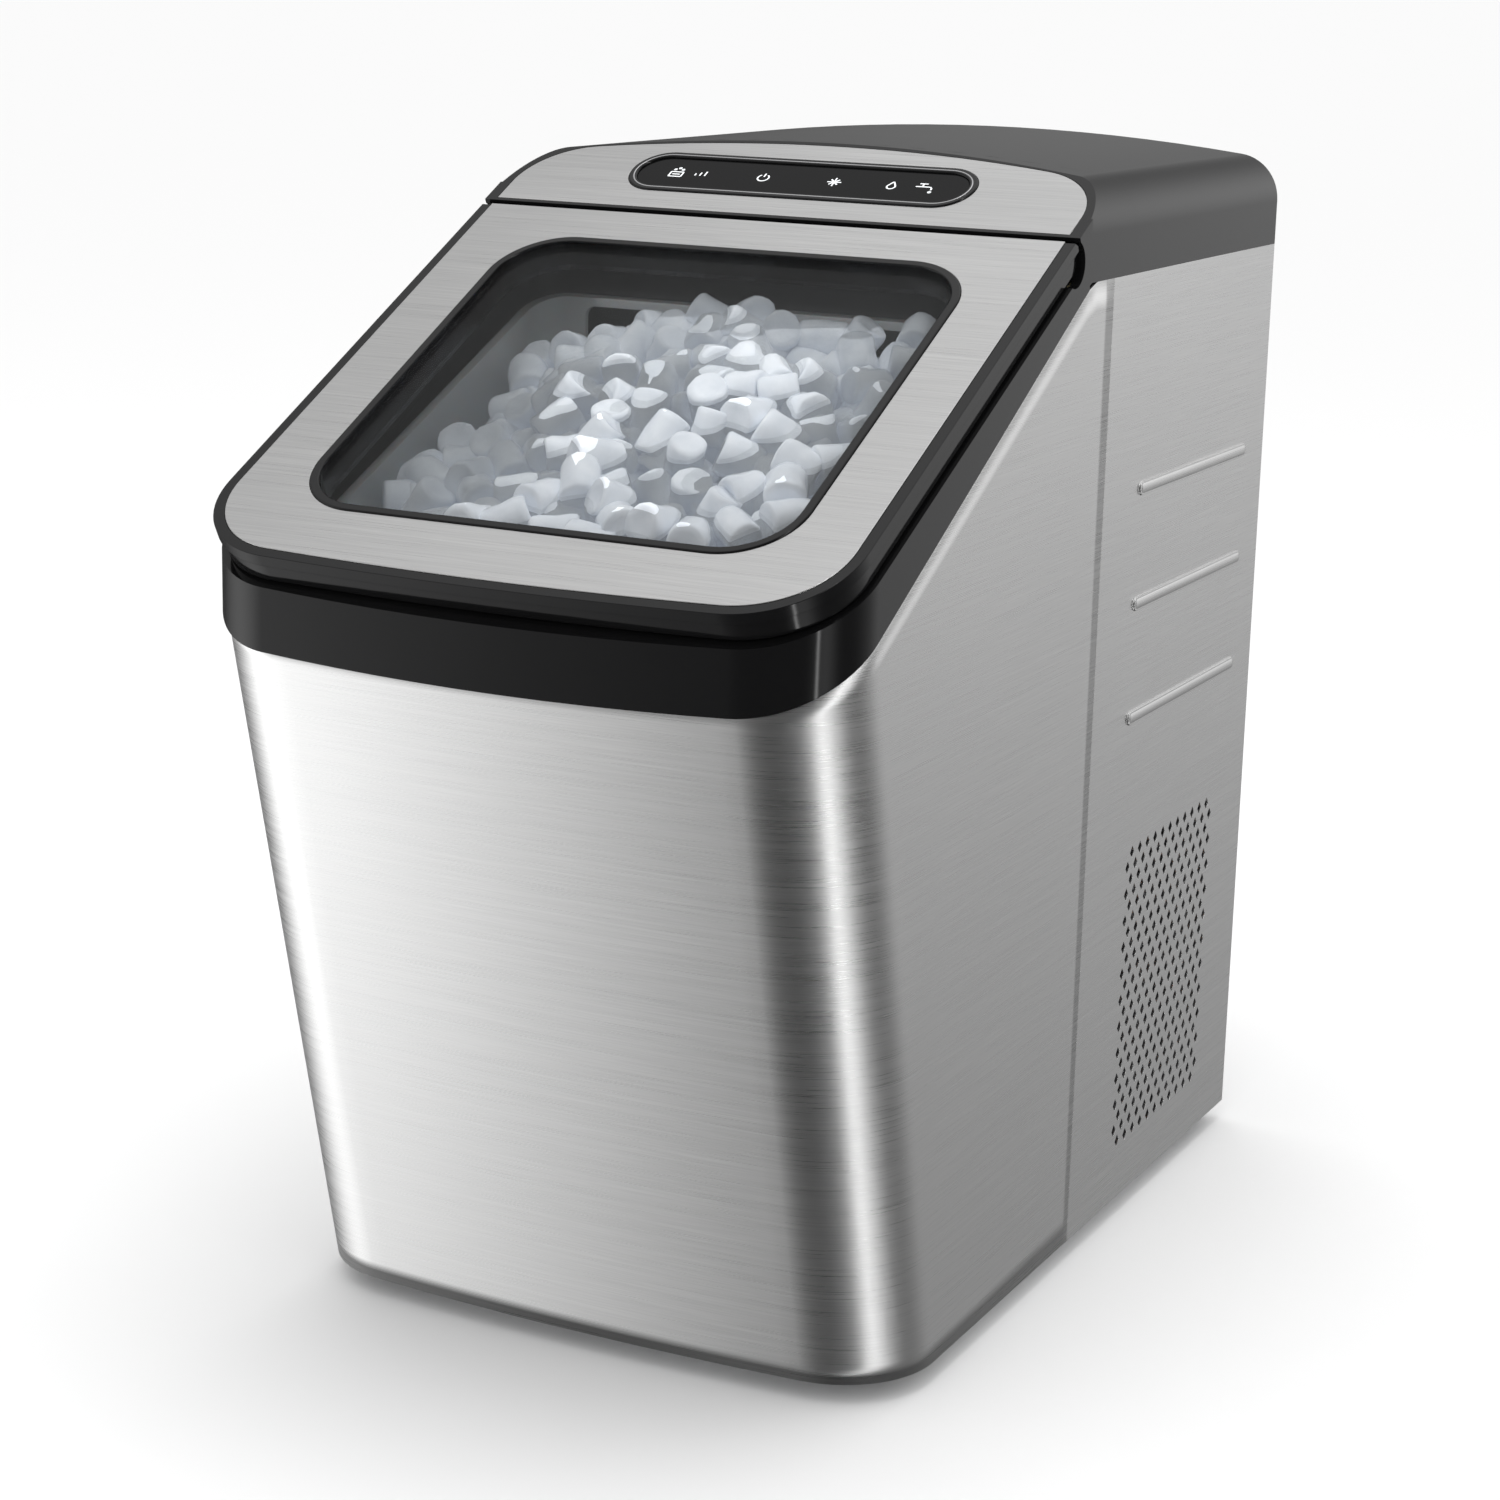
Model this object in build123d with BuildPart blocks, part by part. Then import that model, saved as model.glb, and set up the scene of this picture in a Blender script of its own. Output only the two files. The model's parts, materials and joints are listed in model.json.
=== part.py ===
from build123d import *
import math
import os

os.makedirs("parts", exist_ok=True)

# Counter-top nugget ice maker, in millimetres. +X is the user's right, +Y the back, +Z up.
# The origin is on the ground under the middle of the whole machine.
# "Distance" below is measured forward from the back face, "height" up from the casing's
# bottom edge, and "depth" down from the lid's top plane, square to it.

# ------------------------------------------------------------------ driving dimensions
# Casing
BODY_W = 240.0           # over the steel sides
BASE_D = 345.0           # back face to the middle of the front, along the bottom edge
SIDE_H = 365.4           # level top edge of the side panels
FRONT_LEAN = 14.11       # forward lean of the front, degrees
FRONT_BOW = 6.7          # how far the front's middle stands out
CORNER_R = 36.5          # upright front corners, outside
SHEET = 0.8              # steel sheet
SEAM_D = 180.2           # joint between the front wrap and the side panels
SEAM_LAP = 10.0          # lap behind that joint
RIM_START_D = 200.1      # where the steel's top edge turns down beside the lid
RIM_TILT = 29.84         # slope of that edge, degrees
RIB_HEIGHTS = (196.9, 241.0, 284.8)
RIB_TALL = 5.0
RIB_PROUD = 0.8
RIB_SPAN = (23.0, 144.0)  # distances of a rib's two ends
VENT_W = 4.3             # diamond perforation, across
VENT_H = 5.0             # diamond perforation, tall
VENT_PITCH_D = 8.54
VENT_PITCH_H = 10.7
VENT_COLUMNS = 11
VENT_ROWS = 12
VENT_CENTRE = (87.3, 83.0)  # distance and height of the perforated field's middle

# Feet and base
FOOT_H = 8.0
FOOT_R = 13.0
FOOT_INSET = 34.0
STUD_R = 3.0
BASE_T = 1.2             # base pan
BASE_LIFT = 3.0          # base pan's floor above the casing's bottom edge
BASE_LIP = 12.0

# Lid plane and top cap
HINGE_D = 216.3          # seam between lid and control strip
HINGE_RISE = 16.0        # that seam above the side panels' top edge
LID_TILT = 27.4          # degrees
CROWN_RISE = 41.0        # top cap's middle above the side panels' top edge
CROWN_BOW = 8.0
CROWN_R = 18.0
CAP_SEAM_D = 161.0       # joint between the top cap and the collar
CAP_WALL = 2.5
SKIRT_GAP = 0.2          # black mouldings inside the steel
SKIRT_T = 2.0
SKIRT_H = 10.0

# Collar, the fixed black frame under the lid
COLLAR_FRONT_D = 411.5
COLLAR_WALL = 3.4
COLLAR_DECK_T = 2.5
PARTING = 12.5           # depth of the collar's deck
LIP_FACE = 0.8           # collar's lip behind the seam
MOUTH_HALF = 97.5
MOUTH_REAR = 14.8
MOUTH_FRONT = 198.5
MOUTH_R = 28.0

# Lid
LID_SIDE_GAP = 0.6       # lid inside the casing's width, each side
LID_OVERHANG = -0.7      # lid's front against the leaning front
LID_REAR = 0.6           # lid's back edge in front of the seam
LID_BOW = 4.2
LID_CORNER_R = 37.5
LID_RIM = 4.0            # black rim round the steel plate
RIM_DROP = 0.2           # rim below the plate's face
PLATE_T = 0.8
LID_DECK_DEPTH = 2.4
LID_TIER_DEPTH = 4.5
LID_DEPTH = 11.5
TIER_INSET = 1.5
LID_WALL = 2.4
FIT = 0.15               # gap round an inlaid piece
WINDOW_HALF = 92.5
WINDOW_REAR = 21.0
WINDOW_FRONT = 193.0
WINDOW_R = 26.0
BEZEL_W = 3.2
BEZEL_PROUD = 0.5
PANE_T = 1.6
INNER_PANE_DEPTH = 8.0
CLIP_W = 7.0
GASKET_W = 3.0
GASKET_OUT = 9.5         # gasket's outside, beyond the window bezel's
GASKET_GAP = 0.15        # gasket to the collar's deck

# Lid hinge
PIVOT_S = 5.5            # pivot in front of the seam, along the lid
PIVOT_DEPTH = 7.0
PIN_R = 2.0
PIN_GAP = 0.05
BOSS_R = 4.4
POST_R = 3.8
POST_X = (96.0, 104.0)
POST_GAP = 0.4
LID_TAIL_R = 4.9         # lid's rounded tail about the pivot
RELIEF_R = 8.2           # room in the collar for that tail

# Control strip
STRIP_HALF = 115.4
STRIP_TOP = 52.2
STRIP_REAR = 2.6
STRIP_BOW = 14.6
STRIP_R = 29.0
TOUCH_W = 140.0
TOUCH_H = 27.0
TOUCH_S = 27.8
TOUCH_RING_W = 3.2
TOUCH_RING_PROUD = 0.5
OVERLAY_T = 0.5
KEY_X = (-15.0, 14.0)
KEY_SIZE = (12.0, 8.0)
KEY_H = 2.6
KEY_FLANGE = 1.0
KEY_TRAVEL = 0.4
KEY_GAP = 0.05           # key to the overlay above it
STAY_X = 58.0            # board's two stays
STAY_R = 3.0
SWITCH_R = 1.75
SWITCH_H = 2.5
BOARD_T = 1.6
BOARD_SIZE = (130.0, 24.0)

# Ice bin
BULKHEAD_D = 192.0
BULKHEAD_T = 2.5
FOAM_INSET = 3.6
LINER_INSET = 21.0
LINER_T = 2.0
LINER_BACK_D = 206.0
LINER_FLOOR = 24.0
LINER_BACK_R = 14.0
BIN_CORNER_R = 32.0
LEDGE_W = 6.0
LEDGE_T = 6.0
BASKET_GAP = 7.0
BASKET_T = 2.2
BASKET_FLOOR = 112.0
BASKET_BACK_D = 223.5
BASKET_RIM_H = 350.0     # rim at the basket's back
BASKET_RIM_TILT = 24.5
BASKET_LIP = 1.5
BASKET_RAIL_H = 4.0
ICE_GAP_H = 29.0
ICE_GAP_HALF = 70.0
DRAIN_HOLE_R = 3.0

# Float
STEM_R = 3.0
STEM_H = 78.0
STEM_X = 62.0
STEM_D = 246.0
FLOAT_R = 13.0
FLOAT_H = 18.0
FLOAT_GAP = 0.08
STEM_FOOT_R = 9.0
STEM_FOOT_H = 4.0

# Ice-making barrel and auger
BARREL_X = 8.0
BARREL_D = 116.0
BORE_R = 17.0
BARREL_T = 2.5
BARREL_H = 120.0
HEAD_T = 18.0
HEAD_R = 26.0
HOOD_T = 3.0
HOOD_ROOM = 16.0         # under the hood, above the head
HEAD_GAP = 4.0           # top of the head above the chute's upper end
NUGGET_R = 4.6
NUGGET_PITCH_R = 12.0
AUGER_GAP = 0.3
AUGER_CORE_R = 9.0
AUGER_TURNS = 3
FLIGHT_W = 5.0
SHAFT_R = 6.0
SHAFT_GAP = 0.05
COIL_R = 3.0
COIL_TURNS = 9
COIL_PITCH = 11.2
COIL_START = 12.0        # first turn above the barrel's foot
JACKET_T = 10.0
CHUTE_HALF = 30.0
CHUTE_T = 2.0
CHUTE_DROP = 18.0
CHUTE_TALL = 20.0

# Gearbox
MODULE = 1.5
PINION_TEETH = 14
WHEEL_TEETH = 36
SMALL_TEETH = 14
OUTPUT_TEETH = 40
PRESSURE = 25.0
ADDENDUM = 0.8
DEDENDUM = 1.05
BACKLASH = 0.24
GEAR_T = 9.0
GEAR_GAP = 1.5
CASE_WALL = 3.0
CASE_LID_T = 5.0
CASE_GAP = 1.0
IDLER_ANGLE = -70.0      # direction of the idler seen from the barrel, degrees
MOTOR_ANGLE = 160.0      # direction of the motor seen from the idler
IDLER_PIN_R = 3.0
MOTOR_SHAFT_R = 3.0
MOTOR_R = 26.0
MOTOR_H = 62.0

# Compressor
COMP_X = -50.0
COMP_D = 70.0
COMP_R = 50.0
COMP_H = 146.0
COMP_STEP = 4.0          # body in from the welded seam's flange
COMP_DOME = 24.0
COMP_SEAM = 80.0
COMP_PLATE = (96.0, 104.0, 3.0)
GROMMET_H = 8.0
GROMMET_R = 8.0
GROMMET_AT = (38.0, 42.0)
LINE_R = 3.0             # refrigerant pipes
LINE_BEND = 14.0
CAPILLARY_R = 1.2
BRAZE_GAP = 0.3
DRIER_OFF = 12.0         # drier ahead of the condenser's bends

# Condenser and fan
COND_T = 24.0
COND_GAP = 4.0           # behind the perforated side
COND_D = 87.0            # distance of its middle
COND_W = 130.0
COND_H = 130.0
FIN_T = 0.8
FIN_COUNT = 21
COND_ROWS = 5
COND_TUBE_R = 3.0
COND_PITCH = 25.0
COND_END = 9.0           # tube past the outer fins
SHROUD_T = 26.0
FAN_R = 52.0
FAN_GAP = 2.0
FAN_HUB_R = 17.0
FAN_BLADES = 7
BLADE_T = 2.4
FAN_W = 16.0
FAN_TWIST = 38.0
FAN_SHAFT_R = 2.5
FAN_MOTOR_R = 18.0
FAN_MOTOR_H = 24.0
FAN_SEAT_T = 3.0

# Pump
PUMP_X = -62.0
PUMP_D = 160.0
PUMP_R = 19.0
PUMP_H = 26.0
IMPELLER_R = 13.0
IMPELLER_H = 8.0
HOSE_R = 4.0
DRAIN_HOSE_R = 5.0

# Drain, power and screws, on the back
DRAIN_X = -84.0
DRAIN_H = 22.0
SPIGOT_R = 9.0
SPIGOT_L = 16.0
DRAIN_BORE_R = 5.0
PLUG_STEM = 11.0
SPIGOT_FLANGE = 3.0
PLUG_GAP = 0.05
PLUG_CAP_R = 11.0
PLUG_PROUD = 8.0
INLET_X = 62.0
INLET_H = 190.0
INLET_SIZE = (48.0, 26.0)
INLET_RIM = 4.0
INLET_DEPTH = 16.0
PIN_LONG = 8.0
SCREW_R = 1.6
SCREW_L = 6.0
SCREW_HEAD = (3.6, 2.0)
BOARD_WIRES = 7.0        # power board off the side panel
POWER_BOARD = (100.0, 84.0)
POWER_BOARD_AT = (104.0, 262.0)

# ------------------------------------------------------------------ places worked out
HALF = BODY_W / 2
LEAN = math.tan(math.radians(FRONT_LEAN))
RIM_SLOPE = math.tan(math.radians(RIM_TILT))
LID_COS = math.cos(math.radians(LID_TILT))
LID_SIN = math.sin(math.radians(LID_TILT))
HINGE_H = SIDE_H + HINGE_RISE
CROWN_H = SIDE_H + CROWN_RISE
LID_REACH = (BASE_D + LEAN * HINGE_H - HINGE_D + LID_OVERHANG) / (LID_COS + LEAN * LID_SIN)
NOSE_D = HINGE_D + LID_REACH * LID_COS - RIM_DROP * LID_SIN
BACK_Y = (NOSE_D + PLUG_PROUD) / 2 - PLUG_PROUD

# small fittings
SCREW_INSET = 22.0       # outer case screws in from each side
LOUVRE_H = 0.26 * SIDE_H  # middle of the back louvres
LOUVRE_PITCH, LOUVRE_COUNT = (46.0, 9.0), (3, 11)
LOUVRE_SIZE = (38.0, 3.4)
RELIEF_WALL = 3.6        # collar behind the hinge relief
BAND_BACK, CROWN_BACK = 12.0, 10.0  # collar's band and crown, behind the hinge
SWITCH_W, SWITCH_EDGE_R, SWITCH_CAP_H = 6.2, 0.4, 0.8
PLATE_REAR = LID_REAR + 1.2
PANE_SUNK = 0.4          # outer pane below the plate's face
CLIP_XS = (-56, 0, 56)   # inner pane's clips
CLIP_T, CLIP_GAP = 1.8, 0.2
DRAIN_PITCH, DRAIN_COUNT = (28.0, 24.0), (6, 4)
CASE_ROOM, CASE_R = 7.0, 8.0        # gear case around the wheels
SUCTION_STUB = (-12.0, -4.0)        # across and ahead of the compressor's axis
DISCHARGE_STUB = (20.0, 14.0)
SUCTION_DEPTH = 8.0      # tube let into the compressor's dome
DRIER_LIFT, DRIER_L = 50.0, 70.0
RELAY_SIZE = (30.0, 26.0)
RELAY_PLACES = ((-25, 18), (24, -20))
CAPACITOR_R, CAPACITOR_H = 9.0, 18.0
CAPACITOR_PLACES = ((22, 20), (-28, -18))

FAR = 200.0              # safely past the casing, for cutting shapes
OVER = 1.0               # how far a cutting shape runs past what it cuts
BEND_SHARE = 0.45        # most of a run that one bend may take
LEAN_DIR = Vector(0, -LEAN, 1).normalized()
BASE_TOP = BASE_LIFT + BASE_T
BULKHEAD_TOP = SIDE_H - 12.0
CHUTE_MOUTH_H = 22.0
CHUTE_LOW = BASKET_RIM_H - BASKET_RAIL_H - ICE_GAP_H + 2.0
LEDGE_BACK = LINER_BACK_D + LINER_T + LINER_BACK_R
LEDGE_FRONT = LEDGE_BACK + 90.0
FRONT_AT_FLOOR = BASE_D + LEAN * BASKET_FLOOR
HEAD_TOP = CHUTE_LOW + CHUTE_DROP + CHUTE_T + HEAD_GAP
BARREL_TOP = HEAD_TOP - HEAD_T
CASE_TOP = BARREL_TOP - BARREL_H
CASE_FLOOR = CASE_TOP - CASE_LID_T - 2 * CASE_GAP - 2 * GEAR_T - GEAR_GAP
LOWER_GEARS = CASE_FLOOR + CASE_GAP
UPPER_GEARS = LOWER_GEARS + GEAR_T + GEAR_GAP
SCREW_PLACES = [
    (x, height)
    for height in (BASE_LIFT + BASE_LIP / 2, SIDE_H - SKIRT_H / 2)
    for x in (-HALF + SCREW_INSET, 0, HALF - SCREW_INSET)
]


def at_y(distance):
    """Y of a place this far forward of the back face."""
    return BACK_Y - distance


def at_z(height):
    """Z of a height above the casing's bottom edge."""
    return FOOT_H + height


def lid_point(s, depth):
    """(distance, height) of a place on the lid plane, s down from the seam."""
    return (
        HINGE_D + s * LID_COS - depth * LID_SIN,
        HINGE_H - s * LID_SIN - depth * LID_COS,
    )


def rim_height(distance):
    """Height of the steel's sloping top edge."""
    return SIDE_H - RIM_SLOPE * (distance - RIM_START_D)


LID = Plane(
    origin=(0, at_y(HINGE_D), at_z(HINGE_H)), x_dir=(1, 0, 0), z_dir=(0, -LID_SIN, LID_COS)
)
LID_TURNED = Plane(origin=LID.origin, x_dir=(-1, 0, 0), z_dir=LID.z_dir)
LID_SIDE = Plane(origin=LID.origin, x_dir=(0, -LID_COS, -LID_SIN), z_dir=(-1, 0, 0))


def bowed_outline(plane, half, back, front, bow, front_r, back_r=0.0):
    """Closed outline with straight sides and back, a front bowed out, and round corners."""
    with BuildSketch(plane, mode=Mode.PRIVATE) as outline:
        with BuildLine():
            Polyline((half, front + bow), (half, back), (-half, back), (-half, front + bow))
            ThreePointArc((-half, front + bow), (0, front), (half, front + bow))
        make_face()
        ends = outline.vertices().group_by(Axis.Y)
        fillet(ends[0], front_r)
        if back_r:
            fillet(ends[-1], back_r)
    return outline.sketch


def casing_plan(inset, height, back, corner=None):
    """Plan of the casing at one height, moved in from its outside."""
    radius = max(CORNER_R - inset, 1.0) if corner is None else corner
    front = at_y(BASE_D + LEAN * height - inset)
    return bowed_outline(Plane.XY.offset(at_z(height)), HALF - inset, back, front, FRONT_BOW, radius)


def leaning_box(inset, low, high, back_d, corner=None, back_r=0.0):
    """Solid that keeps to the casing's sides and leaning front, with an upright back."""
    travel = (high - low) * math.sqrt(1 + LEAN * LEAN)
    side = HALF - inset
    with BuildPart(mode=Mode.PRIVATE) as shape:
        extrude(casing_plan(inset, low, at_y(-FAR), corner), amount=travel, dir=LEAN_DIR)
        with BuildSketch(Plane.XY.offset(at_z(low))) as upright:
            with BuildLine():
                Polyline(
                    (side, at_y(back_d)), (-side, at_y(back_d)), (-side, at_y(3 * FAR)),
                    (side, at_y(3 * FAR)), (side, at_y(back_d)),
                )
            make_face()
            if back_r:
                fillet(upright.vertices().group_by(Axis.Y)[-1], back_r)
        extrude(amount=high - low, mode=Mode.INTERSECT)
    return shape.part


def side_block(points, half=FAR):
    """Solid with an outline given in the side view as (distance, height) points."""
    with BuildPart(mode=Mode.PRIVATE) as block:
        with BuildSketch(Plane.YZ):
            with BuildLine():
                Polyline(*[(at_y(d), at_z(h)) for d, h in points], close=True)
            make_face()
        extrude(amount=half, both=True)
    return block.part


def crown_prism(inset, back_d, front_d, low=SIDE_H):
    """Length of the top cap's cross-section."""
    plane = Plane(origin=(0, at_y(back_d), 0), x_dir=(-1, 0, 0), z_dir=(0, -1, 0))
    section = bowed_outline(
        plane, HALF - inset, -at_z(low), -at_z(CROWN_H - inset), CROWN_BOW, CROWN_R - inset
    )
    return extrude(section, amount=front_d - back_d, mode=Mode.PRIVATE)


def lid_slab(outline, deep, shallow):
    """Slab between two depths below the lid plane, from an outline on the lid plane."""
    floor = outline.moved(Location(LID.z_dir * -deep))
    return extrude(floor, amount=deep - shallow, dir=LID.z_dir, mode=Mode.PRIVATE)


def lid_outline(inset, rear=LID_REAR):
    """Outline of the lid, moved in from its black rim's outside."""
    half = HALF - LID_SIDE_GAP - inset
    return bowed_outline(LID, half, -rear, -(LID_REACH - inset), LID_BOW, LID_CORNER_R - inset)


def strip_outline(grow=0.0):
    """Outline of the control strip, which follows the crown behind it."""
    return bowed_outline(
        LID_TURNED, STRIP_HALF + grow, -STRIP_REAR + grow, -STRIP_TOP - grow, STRIP_BOW, STRIP_R + grow
    )


def rounded_on_lid(half, rear, front, radius):
    """Rounded rectangle on the lid plane, between two distances down from the seam."""
    with BuildSketch(LID, mode=Mode.PRIVATE) as shape:
        with Locations((0, -(rear + front) / 2)):
            RectangleRounded(2 * half, front - rear, radius)
    return shape.sketch


def window_outline(grow):
    """Outline of the lid's window, moved out from the black bezel's outside."""
    return rounded_on_lid(
        WINDOW_HALF + grow, WINDOW_REAR - grow, WINDOW_FRONT + grow, WINDOW_R + grow
    )


def touch_outline(grow):
    """Pill outline of the touch panel, moved out from its ring's outside."""
    with BuildSketch(LID, mode=Mode.PRIVATE) as shape:
        with Locations((0, TOUCH_S)):
            SlotOverall(TOUCH_W + 2 * grow, TOUCH_H + 2 * grow)
    return shape.sketch


def upright(x, distance, radius, low, high):
    """Plain upright cylinder."""
    with BuildPart(mode=Mode.PRIVATE) as shape:
        with BuildSketch(Plane.XY.offset(at_z(low))):
            with Locations((x, at_y(distance))):
                Circle(radius)
        extrude(amount=high - low)
    return shape.part


def pipe(points, radius, bend):
    """Round pipe along straight runs joined by bends, as (x, distance, height) points."""
    corners = [Vector(x, at_y(d), at_z(h)) for x, d, h in points]
    bends = []
    for before, here, after in zip(corners, corners[1:], corners[2:]):
        turn = math.radians((here - before).get_angle(after - here))
        room = BEND_SHARE * min((here - before).length, (after - here).length)
        bends.append(min(bend, room / math.tan(turn / 2)))
    with BuildPart(mode=Mode.PRIVATE) as shape:
        with BuildLine() as route:
            FilletPolyline(*corners, radius=bends)
        with BuildSketch(Plane(origin=route.line @ 0, z_dir=route.line % 0)):
            Circle(radius)
        sweep()
    return shape.part


def tooth_outline(teeth, phase):
    """Outline of a spur gear with involute flanks; a tooth stands at the phase angle."""
    pitch_r = MODULE * teeth / 2
    base_r = pitch_r * math.cos(math.radians(PRESSURE))
    tip_r = pitch_r + ADDENDUM * MODULE
    root_r = pitch_r - DEDENDUM * MODULE

    def involute(radius):
        return math.sqrt((radius / base_r) ** 2 - 1) - math.acos(base_r / radius)

    half_tooth = (math.pi * MODULE - BACKLASH) / 4 / pitch_r
    start_r = max(base_r, root_r)
    radii = [start_r + (tip_r - start_r) * i / 5 for i in range(6)]
    angles = [half_tooth + involute(pitch_r) - involute(radius) for radius in radii]
    step = 2 * math.pi / teeth
    points = []
    for tooth in range(teeth):
        middle = phase + tooth * step
        rising = [(radii[i], middle - angles[i]) for i in range(6)]
        falling = [(radii[i], middle + angles[i]) for i in range(5, -1, -1)]
        foot = [(root_r, middle - angles[0])] if root_r < start_r else []
        heel = [(root_r, middle + angles[0])] if root_r < start_r else []
        points += foot + rising + falling + heel
    return [(r * math.cos(a), r * math.sin(a)) for r, a in points]


def gear_blank(teeth, phase, x, distance, low, bore):
    """One spur gear on an upright axis."""
    with BuildPart(mode=Mode.PRIVATE) as gear:
        with BuildSketch(Plane.XY.offset(at_z(low))):
            with Locations((x, at_y(distance))):
                Polygon(*tooth_outline(teeth, phase), align=None)
                Circle(bore, mode=Mode.SUBTRACT)
        extrude(amount=GEAR_T)
    return gear.part


def meshing_phase(teeth, partner_teeth, partner_phase, direction):
    """Phase that puts a gap of this gear on the partner's tooth; direction is partner to this."""
    partner_step = 2 * math.pi / partner_teeth
    offset = (direction - partner_phase) / partner_step
    lag = (offset - round(offset)) * 2 * math.pi
    return direction + math.pi + (math.pi + lag) / teeth


screw_axes = Plane(origin=(0, BACK_Y, 0), x_dir=(-1, 0, 0), z_dir=(0, 1, 0))
with BuildPart() as screw_shanks:
    with BuildSketch(screw_axes):
        with Locations([(x, at_z(height)) for x, height in SCREW_PLACES]):
            Circle(SCREW_R)
    extrude(amount=-SCREW_L)


# ------------------------------------------------------------------ steel casing
FRONT_FAR = NOSE_D + FAR
above_rim = side_block(
    [(-FAR, SIDE_H), (RIM_START_D, SIDE_H), (FRONT_FAR, rim_height(FRONT_FAR)),
     (FRONT_FAR, 4 * FAR), (-FAR, 4 * FAR)]
)

with BuildPart() as front_wrap:
    add(leaning_box(0, 0, 2 * SIDE_H, SEAM_D))
    add(leaning_box(SHEET, 0, 2 * SIDE_H, SEAM_D - 1), mode=Mode.SUBTRACT)
    add(above_rim, mode=Mode.SUBTRACT)
front_wrap.part.label = "front_wrap"
export_step(front_wrap.part, "parts/front_wrap.step")

rib_length = RIB_SPAN[1] - RIB_SPAN[0]
rib_middle = at_y(sum(RIB_SPAN) / 2)
vent_middle = (at_y(VENT_CENTRE[0]), at_z(VENT_CENTRE[1]))
diamond = ((VENT_W / 2, 0), (0, VENT_H / 2), (-VENT_W / 2, 0), (0, -VENT_H / 2))

for side, side_name in ((1, "right_side_panel"), (-1, "left_side_panel")):
    outer_face = Plane(origin=(side * HALF, 0, 0), x_dir=(0, 1, 0), z_dir=(1, 0, 0))
    with BuildPart() as side_panel:
        with BuildSketch(outer_face):
            with Locations((at_y(SEAM_D / 2), at_z(SIDE_H / 2))):
                Rectangle(SEAM_D, SIDE_H)
            with Locations(vent_middle):
                with GridLocations(VENT_PITCH_D, VENT_PITCH_H, VENT_COLUMNS, VENT_ROWS):
                    Polygon(*diamond, mode=Mode.SUBTRACT)
                with GridLocations(VENT_PITCH_D, VENT_PITCH_H, VENT_COLUMNS + 1, VENT_ROWS - 1):
                    Polygon(*diamond, mode=Mode.SUBTRACT)
        extrude(amount=-side * SHEET)
        with BuildSketch(outer_face.offset(-side * SHEET)):
            with Locations((at_y(SEAM_D), at_z(SIDE_H / 2))):
                Rectangle(2 * SEAM_LAP, SIDE_H - 2 * (BASE_LIFT + BASE_LIP + 1))
        extrude(amount=-side * SHEET)
        with BuildSketch(outer_face):
            with Locations([(rib_middle, at_z(height)) for height in RIB_HEIGHTS]):
                SlotOverall(rib_length, RIB_TALL)
        extrude(amount=side * RIB_PROUD)
    side_panel.part.label = side_name
    export_step(side_panel.part, f"parts/{side_name}.step")

back_face = Plane(origin=(0, BACK_Y, 0), x_dir=(-1, 0, 0), z_dir=(0, 1, 0))
with BuildPart() as back_panel:
    with BuildSketch(back_face):
        with Locations((0, at_z(SIDE_H / 2))):
            Rectangle(BODY_W - 2 * SHEET, SIDE_H)
    extrude(amount=-SHEET)
    with BuildSketch(back_face):
        with Locations((0, at_z(LOUVRE_H))):
            with GridLocations(*LOUVRE_PITCH, *LOUVRE_COUNT):
                SlotOverall(*LOUVRE_SIZE)
        with Locations((-DRAIN_X, at_z(DRAIN_H))):
            Circle(SPIGOT_R)
        with Locations((-INLET_X, at_z(INLET_H))):
            Rectangle(*INLET_SIZE)
    extrude(amount=-SHEET, mode=Mode.SUBTRACT)
    add(screw_shanks.part, mode=Mode.SUBTRACT)
back_panel.part.label = "back_panel"
export_step(back_panel.part, "parts/back_panel.step")

foot_places = [
    (side * (HALF - FOOT_INSET), y)
    for side in (-1, 1)
    for y in (at_y(FOOT_INSET), at_y(BASE_D - FOOT_INSET))
]
with BuildPart() as base_pan:
    add(leaning_box(SHEET, BASE_LIFT, BASE_LIFT + BASE_LIP, SHEET))
    add(
        leaning_box(SHEET + BASE_T, BASE_TOP, 2 * BASE_LIP + BASE_LIFT, SHEET + BASE_T),
        mode=Mode.SUBTRACT,
    )
    with BuildSketch(Plane.XY.offset(at_z(BASE_LIFT))):
        with Locations(foot_places):
            Circle(STUD_R)
    extrude(amount=BASE_T, mode=Mode.SUBTRACT)
    add(screw_shanks.part, mode=Mode.SUBTRACT)
base_pan.part.label = "base_pan"
export_step(base_pan.part, "parts/base_pan.step")

with BuildPart() as feet:
    with BuildSketch():
        with Locations(foot_places):
            Circle(FOOT_R)
    extrude(amount=at_z(BASE_LIFT))
    chamfer(feet.faces().group_by(Axis.Z)[0].edges(), 2)
    with BuildSketch(Plane.XY.offset(at_z(BASE_LIFT))):
        with Locations(foot_places):
            Circle(STUD_R)
    extrude(amount=BASE_T)
feet.part.label = "feet"
export_step(feet.part, "parts/feet.step")

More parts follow.
